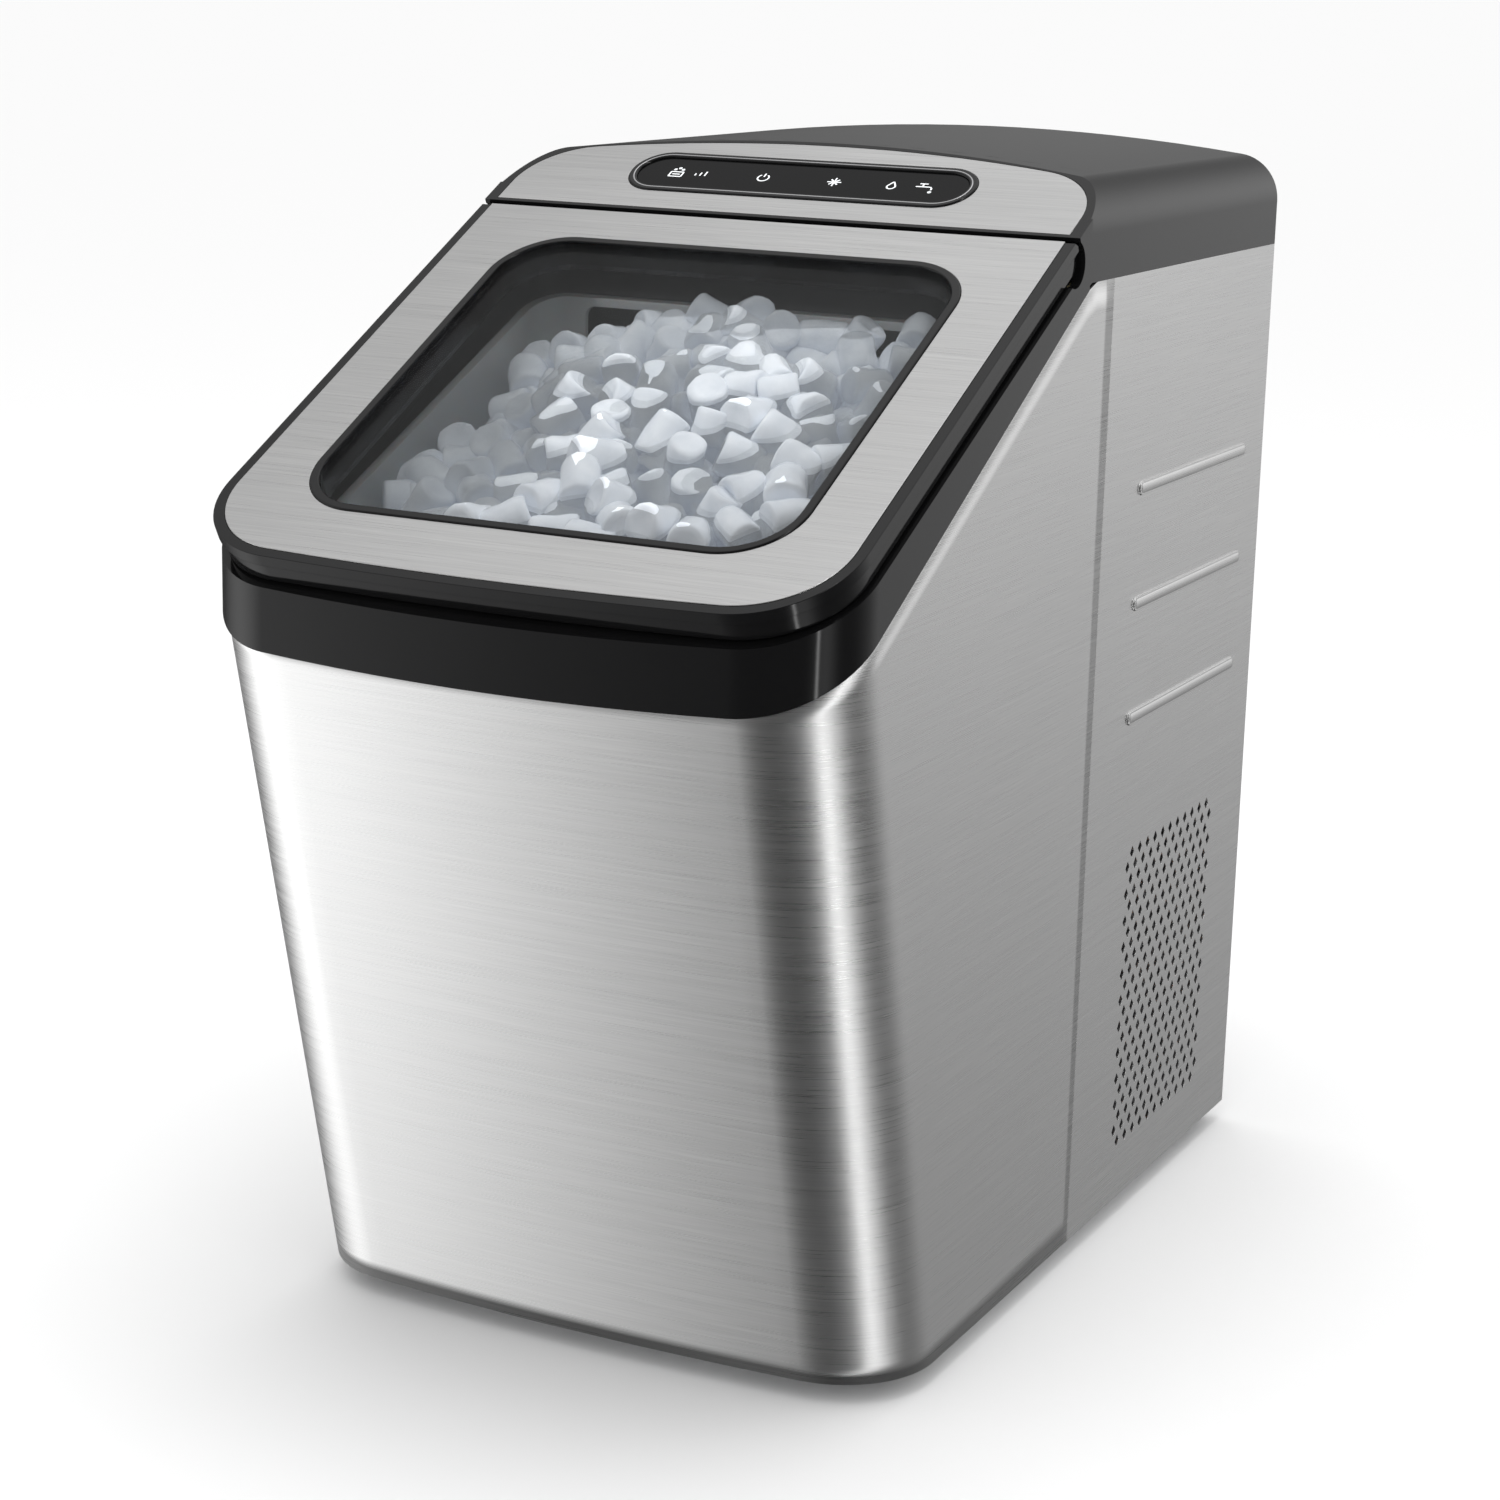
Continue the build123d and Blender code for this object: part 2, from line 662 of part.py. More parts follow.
# ------------------------------------------------------------------ black mouldings
cap_crown = crown_prism(0, 0, CAP_SEAM_D)
cap_hollow = crown_prism(CAP_WALL, CAP_WALL, CAP_SEAM_D + 1, SIDE_H - SKIRT_H - 1)
skirt_half = HALF - SHEET - SKIRT_GAP
with BuildPart() as top_cap:
    with BuildSketch(Plane.XY.offset(at_z(SIDE_H - SKIRT_H))):
        with BuildLine():
            Polyline(
                (skirt_half, at_y(SHEET + SKIRT_GAP)), (-skirt_half, at_y(SHEET + SKIRT_GAP)),
                (-skirt_half, at_y(CAP_SEAM_D)), (skirt_half, at_y(CAP_SEAM_D)), close=True,
            )
        make_face()
    extrude(amount=SKIRT_H)
    add(cap_crown)
    add(cap_hollow, mode=Mode.SUBTRACT)
    with BuildSketch(Plane.XY.offset(at_z(SIDE_H - SKIRT_H))):
        with BuildLine():
            inner_half = skirt_half - SKIRT_T
            inner_back = at_y(SHEET + SKIRT_GAP + SKIRT_T)
            Polyline(
                (inner_half, inner_back), (-inner_half, inner_back),
                (-inner_half, at_y(CAP_SEAM_D)), (inner_half, at_y(CAP_SEAM_D)), close=True,
            )
        make_face()
    extrude(amount=SKIRT_H, mode=Mode.SUBTRACT)
    add(screw_shanks.part, mode=Mode.SUBTRACT)
top_cap.part.label = "top_cap"
export_step(top_cap.part, "parts/top_cap.step")

lip_top = lid_point(-LIP_FACE, 0)
lip_foot = lid_point(-LIP_FACE, PARTING)
deck_far = lid_point(LID_REACH + FAR, PARTING)
collar_outside = side_block(
    [(CAP_SEAM_D, SIDE_H), (RIM_START_D, SIDE_H), (deck_far[0], rim_height(deck_far[0])),
     deck_far, lip_foot, lip_top, lid_point(-(HINGE_D - CAP_SEAM_D) / LID_COS, 0)]
)
seat_depth = PLATE_T + COLLAR_DECK_T
deck_under = PARTING + COLLAR_DECK_T
wall_back = -(RELIEF_R - PIVOT_S) - RELIEF_WALL
hollow_profile = side_block(
    [(CAP_SEAM_D - OVER, -FAR), (FRONT_FAR, -FAR), lid_point((FRONT_FAR - HINGE_D) / LID_COS, deck_under),
     lid_point(wall_back, deck_under), lid_point(wall_back, seat_depth),
     lid_point(-(HINGE_D - CAP_SEAM_D + 1) / LID_COS, seat_depth)]
)
band = bowed_outline(
    Plane.XY, HALF, at_y(HINGE_D - BAND_BACK), at_y(COLLAR_FRONT_D), FRONT_BOW, CORNER_R
)
band_hollow = bowed_outline(
    Plane.XY, HALF - COLLAR_WALL, at_y(HINGE_D - BAND_BACK + OVER), at_y(COLLAR_FRONT_D - COLLAR_WALL),
    FRONT_BOW, CORNER_R - COLLAR_WALL,
)
with BuildPart() as band_room:
    extrude(band_hollow, amount=3 * SIDE_H)
    add(crown_prism(COLLAR_WALL, CAP_SEAM_D - OVER, HINGE_D - CROWN_BACK, 0))
    add(hollow_profile, mode=Mode.INTERSECT)
skirt_line = side_block(
    [(CAP_SEAM_D, SIDE_H - SKIRT_H), (RIM_START_D, SIDE_H - SKIRT_H),
     (FRONT_FAR, rim_height(FRONT_FAR) - SKIRT_H), (FRONT_FAR, rim_height(FRONT_FAR) + 1),
     (RIM_START_D, SIDE_H + 1), (CAP_SEAM_D, SIDE_H + 1)]
)
with BuildPart() as skirt:
    add(leaning_box(SHEET + SKIRT_GAP, 0, SIDE_H + 2, CAP_SEAM_D))
    add(
        leaning_box(SHEET + SKIRT_GAP + SKIRT_T, -1, SIDE_H + 3, CAP_SEAM_D - 1),
        mode=Mode.SUBTRACT,
    )
    add(skirt_line, mode=Mode.INTERSECT)
with BuildPart() as collar:
    extrude(band, amount=2 * SIDE_H)
    add(crown_prism(0, CAP_SEAM_D, HINGE_D - CROWN_BACK))
    add(collar_outside, mode=Mode.INTERSECT)
    add(band_room.part, mode=Mode.SUBTRACT)
    add(skirt.part)
    add(lid_slab(strip_outline(FIT), PLATE_T, -1), mode=Mode.SUBTRACT)
    add(
        lid_slab(rounded_on_lid(MOUTH_HALF, MOUTH_REAR, MOUTH_FRONT, MOUTH_R), deck_under + 5 * OVER, 0),
        mode=Mode.SUBTRACT,
    )
    with BuildSketch(LID_SIDE):
        with Locations((PIVOT_S, -PIVOT_DEPTH)):
            Circle(RELIEF_R)
    extrude(amount=HALF + 1, both=True, mode=Mode.SUBTRACT)
    with BuildSketch(LID.offset(-seat_depth - 1)):
        with Locations([(x, TOUCH_S) for x in KEY_X]):
            RectangleRounded(KEY_SIZE[0] + 2 * FIT, KEY_SIZE[1] + 2 * FIT, 1.5)
    extrude(amount=seat_depth + 1, mode=Mode.SUBTRACT)
    for side in (-1, 1):
        with BuildSketch(LID_SIDE.offset(-side * POST_X[0])):
            with Locations((PIVOT_S, -PIVOT_DEPTH)):
                Circle(POST_R)
            with Locations((PIVOT_S, -(PIVOT_DEPTH + deck_under) / 2)):
                Rectangle(2 * POST_R, deck_under - PIVOT_DEPTH)
            with Locations((PIVOT_S, -PIVOT_DEPTH)):
                Circle(PIN_R, mode=Mode.SUBTRACT)
        extrude(amount=-side * (POST_X[1] - POST_X[0]))
collar.part.label = "collar"
export_step(collar.part, "parts/collar.step")

# ------------------------------------------------------------------ control strip
with BuildPart() as control_strip:
    add(lid_slab(strip_outline(), PLATE_T, 0))
    add(lid_slab(touch_outline(FIT), PLATE_T + 1, -1), mode=Mode.SUBTRACT)
control_strip.part.label = "control_strip"
export_step(control_strip.part, "parts/control_strip.step")

with BuildPart() as touch_ring:
    add(lid_slab(touch_outline(0), PLATE_T, -TOUCH_RING_PROUD))
    add(lid_slab(touch_outline(-TOUCH_RING_W), PLATE_T + 1, -1), mode=Mode.SUBTRACT)
touch_ring.part.label = "touch_ring"
export_step(touch_ring.part, "parts/touch_ring.step")

with BuildPart() as touch_overlay:
    add(lid_slab(touch_outline(-TOUCH_RING_W), PLATE_T, PLATE_T - OVERLAY_T))
touch_overlay.part.label = "touch_overlay"
export_step(touch_overlay.part, "parts/touch_overlay.step")

key_top = PLATE_T
key_foot = key_top + KEY_H
for key_name, key_x in (("power_key", KEY_X[0]), ("clean_key", KEY_X[1])):
    with BuildPart() as key:
        with BuildSketch(LID.offset(-key_foot)):
            with Locations((key_x, TOUCH_S)):
                RectangleRounded(*KEY_SIZE, 1.5)
        extrude(amount=KEY_H - KEY_GAP)
        with BuildSketch(LID.offset(-key_foot - KEY_FLANGE)):
            with Locations((key_x, TOUCH_S)):
                RectangleRounded(KEY_SIZE[0] + 3, KEY_SIZE[1] + 3, 1.5)
        extrude(amount=KEY_FLANGE)
    key.part.label = key_name
    export_step(key.part, f"parts/{key_name}.step")

board_top = key_foot + KEY_FLANGE + KEY_TRAVEL + KEY_GAP + SWITCH_H
with BuildPart() as control_board:
    with BuildSketch(LID.offset(-board_top - BOARD_T)):
        with Locations((0, TOUCH_S)):
            Rectangle(*BOARD_SIZE)
    extrude(amount=BOARD_T)
    with BuildSketch(LID.offset(-board_top)):
        with Locations([(x, TOUCH_S) for x in KEY_X]):
            RectangleRounded(SWITCH_W, SWITCH_W, SWITCH_EDGE_R)
    extrude(amount=SWITCH_H - SWITCH_CAP_H)
    with BuildSketch(LID.offset(-board_top)):
        with Locations([(x, TOUCH_S) for x in KEY_X]):
            Circle(SWITCH_R)
        with Locations([(x, TOUCH_S) for x in (-STAY_X, STAY_X)]):
            Circle(STAY_R)
    extrude(amount=SWITCH_H)
    with BuildSketch(LID.offset(-board_top)):
        with Locations([(x, TOUCH_S) for x in (-STAY_X, STAY_X)]):
            Circle(STAY_R)
    extrude(amount=board_top - seat_depth)
control_board.part.label = "control_board"
export_step(control_board.part, "parts/control_board.step")

# ------------------------------------------------------------------ lid
with BuildPart() as lid_tail_trim:
    with BuildSketch(LID_SIDE):
        with Locations((PIVOT_S - FAR / 20, -PIVOT_DEPTH)):
            Rectangle(FAR / 10, 40)
        with Locations((PIVOT_S, -PIVOT_DEPTH)):
            Circle(LID_TAIL_R, mode=Mode.SUBTRACT)
        with BuildLine():
            Polyline(
                (PIVOT_S + 1, -RIM_DROP), (LID_REAR + LID_TAIL_R - 3, -RIM_DROP),
                (LID_REAR, -RIM_DROP - 2), (LID_REAR, -PIVOT_DEPTH), (PIVOT_S + 1, -PIVOT_DEPTH),
                close=True,
            )
        make_face(mode=Mode.SUBTRACT)
    extrude(amount=HALF, both=True)

hollow_outline = lid_outline(TIER_INSET + LID_WALL, LID_REAR + LID_WALL)
with BuildPart() as lid_hollow:
    add(lid_slab(hollow_outline, LID_DEPTH + 1, LID_DECK_DEPTH))
    add(lid_slab(window_outline(LID_WALL), LID_DEPTH + 2, 0), mode=Mode.SUBTRACT)

with BuildPart() as gasket_rib:
    add(lid_slab(window_outline(GASKET_OUT), LID_DEPTH, LID_DECK_DEPTH))
    add(
        lid_slab(window_outline(GASKET_OUT - GASKET_W), LID_DEPTH + 1, LID_DECK_DEPTH - 1),
        mode=Mode.SUBTRACT,
    )

boss_x = (POST_X[1] + POST_GAP, HALF - LID_SIDE_GAP - TIER_INSET - 1)
notch_x = (POST_X[0] - POST_GAP, boss_x[0])
with BuildPart() as lid_frame:
    add(lid_slab(lid_outline(0), LID_TIER_DEPTH, RIM_DROP))
    add(lid_slab(lid_outline(TIER_INSET), LID_DEPTH, LID_TIER_DEPTH))
    add(lid_slab(lid_outline(LID_RIM - FIT, PLATE_REAR - FIT), PLATE_T, -1), mode=Mode.SUBTRACT)
    add(lid_slab(window_outline(-BEZEL_W), LID_DEPTH + 1, 0), mode=Mode.SUBTRACT)
    add(lid_hollow.part, mode=Mode.SUBTRACT)
    add(gasket_rib.part)
    for side in (-1, 1):
        with BuildSketch(LID_SIDE.offset(-side * boss_x[0])):
            with Locations((PIVOT_S, -PIVOT_DEPTH)):
                Circle(BOSS_R)
            with Locations((PIVOT_S, -(PIVOT_DEPTH + LID_DECK_DEPTH) / 2)):
                Rectangle(2 * BOSS_R, PIVOT_DEPTH - LID_DECK_DEPTH)
        extrude(amount=-side * (boss_x[1] - boss_x[0]))
        with BuildSketch(LID_SIDE.offset(-side * notch_x[0])):
            with Locations((0, -LID_DECK_DEPTH - 10)):
                Rectangle(2 * (PIVOT_S + POST_R + POST_GAP), 20)
        extrude(amount=-side * (notch_x[1] - notch_x[0]), mode=Mode.SUBTRACT)
        with BuildSketch(LID_SIDE.offset(-side * notch_x[0])):
            with Locations((PIVOT_S, -PIVOT_DEPTH)):
                Circle(PIN_R + PIN_GAP)
        extrude(amount=-side * (boss_x[1] - notch_x[0] - 1), mode=Mode.SUBTRACT)
    add(lid_tail_trim.part, mode=Mode.SUBTRACT)
lid_frame.part.label = "lid_frame"
export_step(lid_frame.part, "parts/lid_frame.step")

with BuildPart() as hinge_pins:
    for side in (-1, 1):
        with BuildSketch(LID_SIDE.offset(-side * POST_X[0])):
            with Locations((PIVOT_S, -PIVOT_DEPTH)):
                Circle(PIN_R)
        extrude(amount=-side * (boss_x[1] - POST_X[0] - 2))
hinge_pins.part.label = "hinge_pins"
export_step(hinge_pins.part, "parts/hinge_pins.step")

with BuildPart() as lid_plate:
    add(lid_slab(lid_outline(LID_RIM, PLATE_REAR), PLATE_T, 0))
    add(lid_slab(window_outline(FIT), PLATE_T + 1, -1), mode=Mode.SUBTRACT)
lid_plate.part.label = "lid_plate"
export_step(lid_plate.part, "parts/lid_plate.step")

with BuildPart() as window_bezel:
    add(lid_slab(window_outline(0), PLATE_T, -BEZEL_PROUD))
    add(lid_slab(window_outline(-BEZEL_W), LID_DECK_DEPTH + 1, -1), mode=Mode.SUBTRACT)
window_bezel.part.label = "window_bezel"
export_step(window_bezel.part, "parts/window_bezel.step")

pane_top = PANE_SUNK
with BuildPart() as outer_pane:
    add(lid_slab(window_outline(-BEZEL_W), pane_top + PANE_T, pane_top))
outer_pane.part.label = "outer_pane"
export_step(outer_pane.part, "parts/outer_pane.step")

inner_top = INNER_PANE_DEPTH
inner_rise = inner_top - pane_top - PANE_T - CLIP_GAP
clip_places = [(x, -(WINDOW_REAR + BEZEL_W + PANE_T + CLIP_T / 3)) for x in CLIP_XS]
clip_places += [(x, -(WINDOW_FRONT - BEZEL_W - PANE_T - CLIP_T / 3)) for x in CLIP_XS]
with BuildPart() as inner_pane:
    add(lid_slab(window_outline(-BEZEL_W), inner_top + PANE_T, inner_top))
    add(lid_slab(window_outline(-BEZEL_W), inner_top, inner_top - inner_rise))
    add(
        lid_slab(window_outline(-BEZEL_W - PANE_T), inner_top, inner_top - inner_rise - 1),
        mode=Mode.SUBTRACT,
    )
    with BuildSketch(LID.offset(-inner_top)):
        with Locations(clip_places):
            Rectangle(CLIP_W, CLIP_T)
    extrude(amount=inner_rise - 1)
inner_pane.part.label = "inner_pane"
export_step(inner_pane.part, "parts/inner_pane.step")

gasket_foot = PARTING - GASKET_GAP
with BuildPart() as lid_gasket:
    add(lid_slab(window_outline(GASKET_OUT), gasket_foot, LID_DEPTH))
    add(
        lid_slab(window_outline(GASKET_OUT - GASKET_W), gasket_foot + 1, LID_DEPTH - 1),
        mode=Mode.SUBTRACT,
    )
lid_gasket.part.label = "lid_gasket"
export_step(lid_gasket.part, "parts/lid_gasket.step")

# ------------------------------------------------------------------ ice bin
with BuildPart() as bulkhead:
    with BuildSketch(Plane.XY.offset(at_z(BASE_TOP))):
        with Locations((0, at_y(BULKHEAD_D - BULKHEAD_T / 2))):
            Rectangle(2 * (HALF - FOAM_INSET), BULKHEAD_T)
    extrude(amount=BULKHEAD_TOP - BASE_TOP)
    with BuildSketch(Plane.XZ.offset(-at_y(BULKHEAD_D - BULKHEAD_T))):
        with Locations((BARREL_X, at_z(CHUTE_LOW + CHUTE_MOUTH_H / 2))):
            Rectangle(2 * CHUTE_HALF, CHUTE_MOUTH_H)
    extrude(amount=BULKHEAD_T, mode=Mode.SUBTRACT)
bulkhead.part.label = "bulkhead"
export_step(bulkhead.part, "parts/bulkhead.step")

flange_depth = deck_under + LINER_T
rear_room = side_block(
    [(-FAR, -FAR), (FRONT_FAR, -FAR), lid_point((FRONT_FAR - HINGE_D) / LID_COS, flange_depth),
     lid_point(wall_back + 1, flange_depth),
     (lid_point(wall_back + 1, flange_depth)[0], BULKHEAD_TOP), (-FAR, BULKHEAD_TOP)]
)
chute_hole = (2 * CHUTE_HALF, CHUTE_MOUTH_H)
with BuildPart() as bin_foam:
    add(leaning_box(FOAM_INSET, BASE_TOP, 2 * SIDE_H, BULKHEAD_D))
    add(
        leaning_box(LINER_INSET, LINER_FLOOR - LINER_T, 3 * SIDE_H, LINER_BACK_D,
                    BIN_CORNER_R + LINER_T, LINER_BACK_R + LINER_T),
        mode=Mode.SUBTRACT,
    )
    add(rear_room, mode=Mode.INTERSECT)
    with BuildSketch(Plane.XZ.offset(-at_y(BULKHEAD_D))):
        with Locations((BARREL_X, at_z(CHUTE_LOW + CHUTE_MOUTH_H / 2))):
            Rectangle(*chute_hole)
    extrude(amount=LINER_BACK_D - BULKHEAD_D, mode=Mode.SUBTRACT)
    add(collar.part, mode=Mode.SUBTRACT)
bin_foam.part.label = "bin_foam"
export_step(bin_foam.part, "parts/bin_foam.step")

liner_rear = lid_point(wall_back + OVER, deck_under)
liner_cut = side_block(
    [(-FAR, -FAR), (FRONT_FAR, -FAR), lid_point((FRONT_FAR - HINGE_D) / LID_COS, deck_under),
     liner_rear, (lid_point(wall_back, deck_under)[0] - 2 * OVER, liner_rear[1]), (-FAR, 0)]
)
flange_band = side_block(
    [lid_point(wall_back + 1, flange_depth), lid_point(wall_back + 1, deck_under),
     lid_point(LID_REACH + FAR, deck_under), lid_point(LID_REACH + FAR, flange_depth)]
)
liner_inside = leaning_box(
    LINER_INSET + LINER_T, LINER_FLOOR, 3 * SIDE_H, LINER_BACK_D + LINER_T, BIN_CORNER_R, LINER_BACK_R
)
with BuildPart() as liner_flange:
    add(leaning_box(COLLAR_WALL + 2, BASE_TOP, 2 * SIDE_H, LINER_BACK_D - 8))
    add(flange_band, mode=Mode.INTERSECT)
with BuildPart() as bin_liner:
    add(
        leaning_box(LINER_INSET, LINER_FLOOR - LINER_T, 2 * SIDE_H, LINER_BACK_D,
                    BIN_CORNER_R + LINER_T, LINER_BACK_R + LINER_T)
    )
    add(liner_cut, mode=Mode.INTERSECT)
    add(liner_flange.part)
    add(liner_inside, mode=Mode.SUBTRACT)
    for side in (-1, 1):
        with BuildSketch(Plane.XY.offset(at_z(BASKET_FLOOR - LEDGE_T))):
            with Locations(
                (side * (HALF - LINER_INSET - LINER_T - LEDGE_W / 2),
                 at_y((LEDGE_BACK + LEDGE_FRONT) / 2))
            ):
                Rectangle(LEDGE_W, LEDGE_FRONT - LEDGE_BACK)
        extrude(amount=LEDGE_T)
    with BuildSketch(Plane.XZ.offset(-at_y(LINER_BACK_D))):
        with Locations((BARREL_X, at_z(CHUTE_LOW + CHUTE_MOUTH_H / 2))):
            Rectangle(*chute_hole)
    extrude(amount=LINER_T, mode=Mode.SUBTRACT)
bin_liner.part.label = "bin_liner"
export_step(bin_liner.part, "parts/bin_liner.step")

basket_inset = LINER_INSET + LINER_T + BASKET_GAP
basket_slope = math.tan(math.radians(BASKET_RIM_TILT))
basket_far = BASKET_RIM_H - basket_slope * (FRONT_FAR - BASKET_BACK_D)
under_rim = side_block(
    [(-FAR, -FAR), (FRONT_FAR, -FAR), (FRONT_FAR, basket_far), (BASKET_BACK_D, BASKET_RIM_H),
     (-FAR, BASKET_RIM_H)]
)
lip_band = side_block(
    [(BASKET_BACK_D, BASKET_RIM_H), (FRONT_FAR, basket_far), (FRONT_FAR, basket_far - BASKET_T),
     (BASKET_BACK_D, BASKET_RIM_H - BASKET_T)]
)
with BuildPart() as basket_lip:
    add(
        leaning_box(basket_inset - BASKET_LIP, BASKET_FLOOR, SIDE_H, BASKET_BACK_D,
                    BIN_CORNER_R, LINER_BACK_R)
    )
    add(lip_band, mode=Mode.INTERSECT)
with BuildPart() as ice_basket:
    add(leaning_box(basket_inset, BASKET_FLOOR, SIDE_H, BASKET_BACK_D, BIN_CORNER_R, LINER_BACK_R))
    add(under_rim, mode=Mode.INTERSECT)
    add(basket_lip.part)
    add(
        leaning_box(basket_inset + BASKET_T, BASKET_FLOOR + BASKET_T, 2 * SIDE_H,
                    BASKET_BACK_D + BASKET_T, BIN_CORNER_R - BASKET_T, LINER_BACK_R - BASKET_T),
        mode=Mode.SUBTRACT,
    )
    with BuildSketch(Plane.XZ.offset(-at_y(BASKET_BACK_D))):
        with Locations((0, at_z(BASKET_RIM_H - BASKET_RAIL_H - ICE_GAP_H / 2))):
            RectangleRounded(2 * ICE_GAP_HALF, ICE_GAP_H, 4)
    extrude(amount=BASKET_T, mode=Mode.SUBTRACT)
    with BuildSketch(Plane.XY.offset(at_z(BASKET_FLOOR))):
        with Locations((0, at_y((BASKET_BACK_D + FRONT_AT_FLOOR - basket_inset) / 2))):
            with GridLocations(*DRAIN_PITCH, *DRAIN_COUNT):
                Circle(DRAIN_HOLE_R)
    extrude(amount=BASKET_T, mode=Mode.SUBTRACT)
ice_basket.part.label = "ice_basket"
export_step(ice_basket.part, "parts/ice_basket.step")

# ------------------------------------------------------------------ float
stem_place = (STEM_X, at_y(STEM_D))
with BuildPart() as float_stem:
    with BuildSketch(Plane.XY.offset(at_z(LINER_FLOOR))):
        with Locations(stem_place):
            Circle(STEM_FOOT_R)
    extrude(amount=STEM_FOOT_H)
    with BuildSketch(Plane.XY.offset(at_z(LINER_FLOOR))):
        with Locations(stem_place):
            Circle(STEM_R)
    extrude(amount=STEM_H)
    with BuildSketch(Plane.XY.offset(at_z(LINER_FLOOR + STEM_H))):
        with Locations(stem_place):
            Circle(STEM_R + 2)
    extrude(amount=1.5)
float_stem.part.label = "float_stem"
export_step(float_stem.part, "parts/float_stem.step")

with BuildPart() as water_float:
    with BuildSketch(Plane.XY.offset(at_z(LINER_FLOOR + STEM_FOOT_H))):
        with Locations(stem_place):
            Circle(FLOAT_R)
            Circle(STEM_R + FLOAT_GAP, mode=Mode.SUBTRACT)
    extrude(amount=FLOAT_H)
water_float.part.label = "water_float"
export_step(water_float.part, "parts/water_float.step")

# ------------------------------------------------------------------ barrel, auger and chute
hood_r = HEAD_R + HOOD_T
chute_line = [
    (BARREL_D + hood_r, CHUTE_LOW + CHUTE_DROP),
    (BULKHEAD_D - BULKHEAD_T - 4, CHUTE_LOW),
    (BASKET_BACK_D - 1, CHUTE_LOW),
]
chute_outside = chute_line + [(d, h + CHUTE_TALL) for d, h in reversed(chute_line)]
chute_inside = [(d, h + CHUTE_T) for d, h in chute_line]
chute_inside[0] = (chute_inside[0][0] - 1, chute_inside[0][1] + 0.5)
chute_inside[2] = (chute_inside[2][0] + 1, chute_inside[2][1])
chute_inside += [(d, h + CHUTE_TALL - 2 * CHUTE_T) for d, h in reversed(chute_inside)]
with BuildPart() as ice_chute:
    add(side_block(chute_outside, CHUTE_HALF - FIT).moved(Location((BARREL_X, 0, 0))))
    add(
        side_block(chute_inside, CHUTE_HALF - FIT - CHUTE_T).moved(Location((BARREL_X, 0, 0))),
        mode=Mode.SUBTRACT,
    )
ice_chute.part.label = "ice_chute"
export_step(ice_chute.part, "parts/ice_chute.step")

barrel_out = BORE_R + BARREL_T
with BuildPart() as freezing_barrel:
    add(upright(BARREL_X, BARREL_D, barrel_out, CASE_TOP, BARREL_TOP))
    add(upright(BARREL_X, BARREL_D, BORE_R, CASE_TOP, BARREL_TOP), mode=Mode.SUBTRACT)
freezing_barrel.part.label = "freezing_barrel"
export_step(freezing_barrel.part, "parts/freezing_barrel.step")

coil_r = barrel_out + COIL_R
coil_base = CASE_TOP + COIL_START
with BuildPart() as evaporator_coil:
    with BuildLine() as turns:
        Helix(
            pitch=COIL_PITCH, height=COIL_PITCH * COIL_TURNS, radius=coil_r,
            center=(BARREL_X, at_y(BARREL_D), at_z(coil_base)),
        )
    with BuildSketch(Plane(origin=turns.line @ 0, z_dir=turns.line % 0)):
        Circle(COIL_R)
    sweep(is_frenet=True)
evaporator_coil.part.label = "evaporator_coil"
export_step(evaporator_coil.part, "parts/evaporator_coil.step")

jacket_in = barrel_out + 2 * COIL_R + BRAZE_GAP
coil_top = coil_base + COIL_PITCH * COIL_TURNS
with BuildPart() as barrel_jacket:
    add(upright(BARREL_X, BARREL_D, jacket_in + JACKET_T, coil_base + COIL_R + 3, coil_top - COIL_R - 3))
    add(
        upright(BARREL_X, BARREL_D, jacket_in, coil_base, coil_top), mode=Mode.SUBTRACT
    )
barrel_jacket.part.label = "barrel_jacket"
export_step(barrel_jacket.part, "parts/barrel_jacket.step")

flight_low = CASE_TOP + 3
flight_high = BARREL_TOP - 3
with BuildSketch(Plane.XY.offset(at_z(flight_low))) as flight_section:
    with Locations((BARREL_X, at_y(BARREL_D))):
        Circle(AUGER_CORE_R)
        with Locations(((BORE_R - AUGER_GAP) / 2, 0)):
            SlotOverall(BORE_R - AUGER_GAP, FLIGHT_W)
flight = Solid.extrude_linear_with_rotation(
    flight_section.sketch.face(),
    center=(BARREL_X, at_y(BARREL_D), at_z(flight_low)),
    normal=(0, 0, flight_high - flight_low),
    angle=360 * AUGER_TURNS,
)
with BuildPart() as auger:
    add(flight)
    add(upright(BARREL_X, BARREL_D, SHAFT_R, LOWER_GEARS, flight_low))
    add(upright(BARREL_X, BARREL_D, SHAFT_R, flight_high, HEAD_TOP + 2))
auger.part.label = "auger"
export_step(auger.part, "parts/auger.step")

with BuildPart() as extruder_head:
    add(upright(BARREL_X, BARREL_D, HEAD_R, BARREL_TOP, HEAD_TOP))
    with BuildSketch(Plane.XY.offset(at_z(BARREL_TOP))):
        with Locations((BARREL_X, at_y(BARREL_D))):
            Circle(SHAFT_R + 2)
            with PolarLocations(NUGGET_PITCH_R, 6):
                Circle(NUGGET_R)
    extrude(amount=HEAD_T, mode=Mode.SUBTRACT)
extruder_head.part.label = "extruder_head"
export_step(extruder_head.part, "parts/extruder_head.step")

with BuildPart() as auger_bushes:
    for bush_low, bush_high in ((BARREL_TOP, HEAD_TOP), (CASE_TOP - CASE_LID_T, CASE_TOP)):
        with BuildSketch(Plane.XY.offset(at_z(bush_low))):
            with Locations((BARREL_X, at_y(BARREL_D))):
                Circle(SHAFT_R + 2)
                Circle(SHAFT_R + SHAFT_GAP, mode=Mode.SUBTRACT)
        extrude(amount=bush_high - bush_low)
auger_bushes.part.label = "auger_bushes"
export_step(auger_bushes.part, "parts/auger_bushes.step")

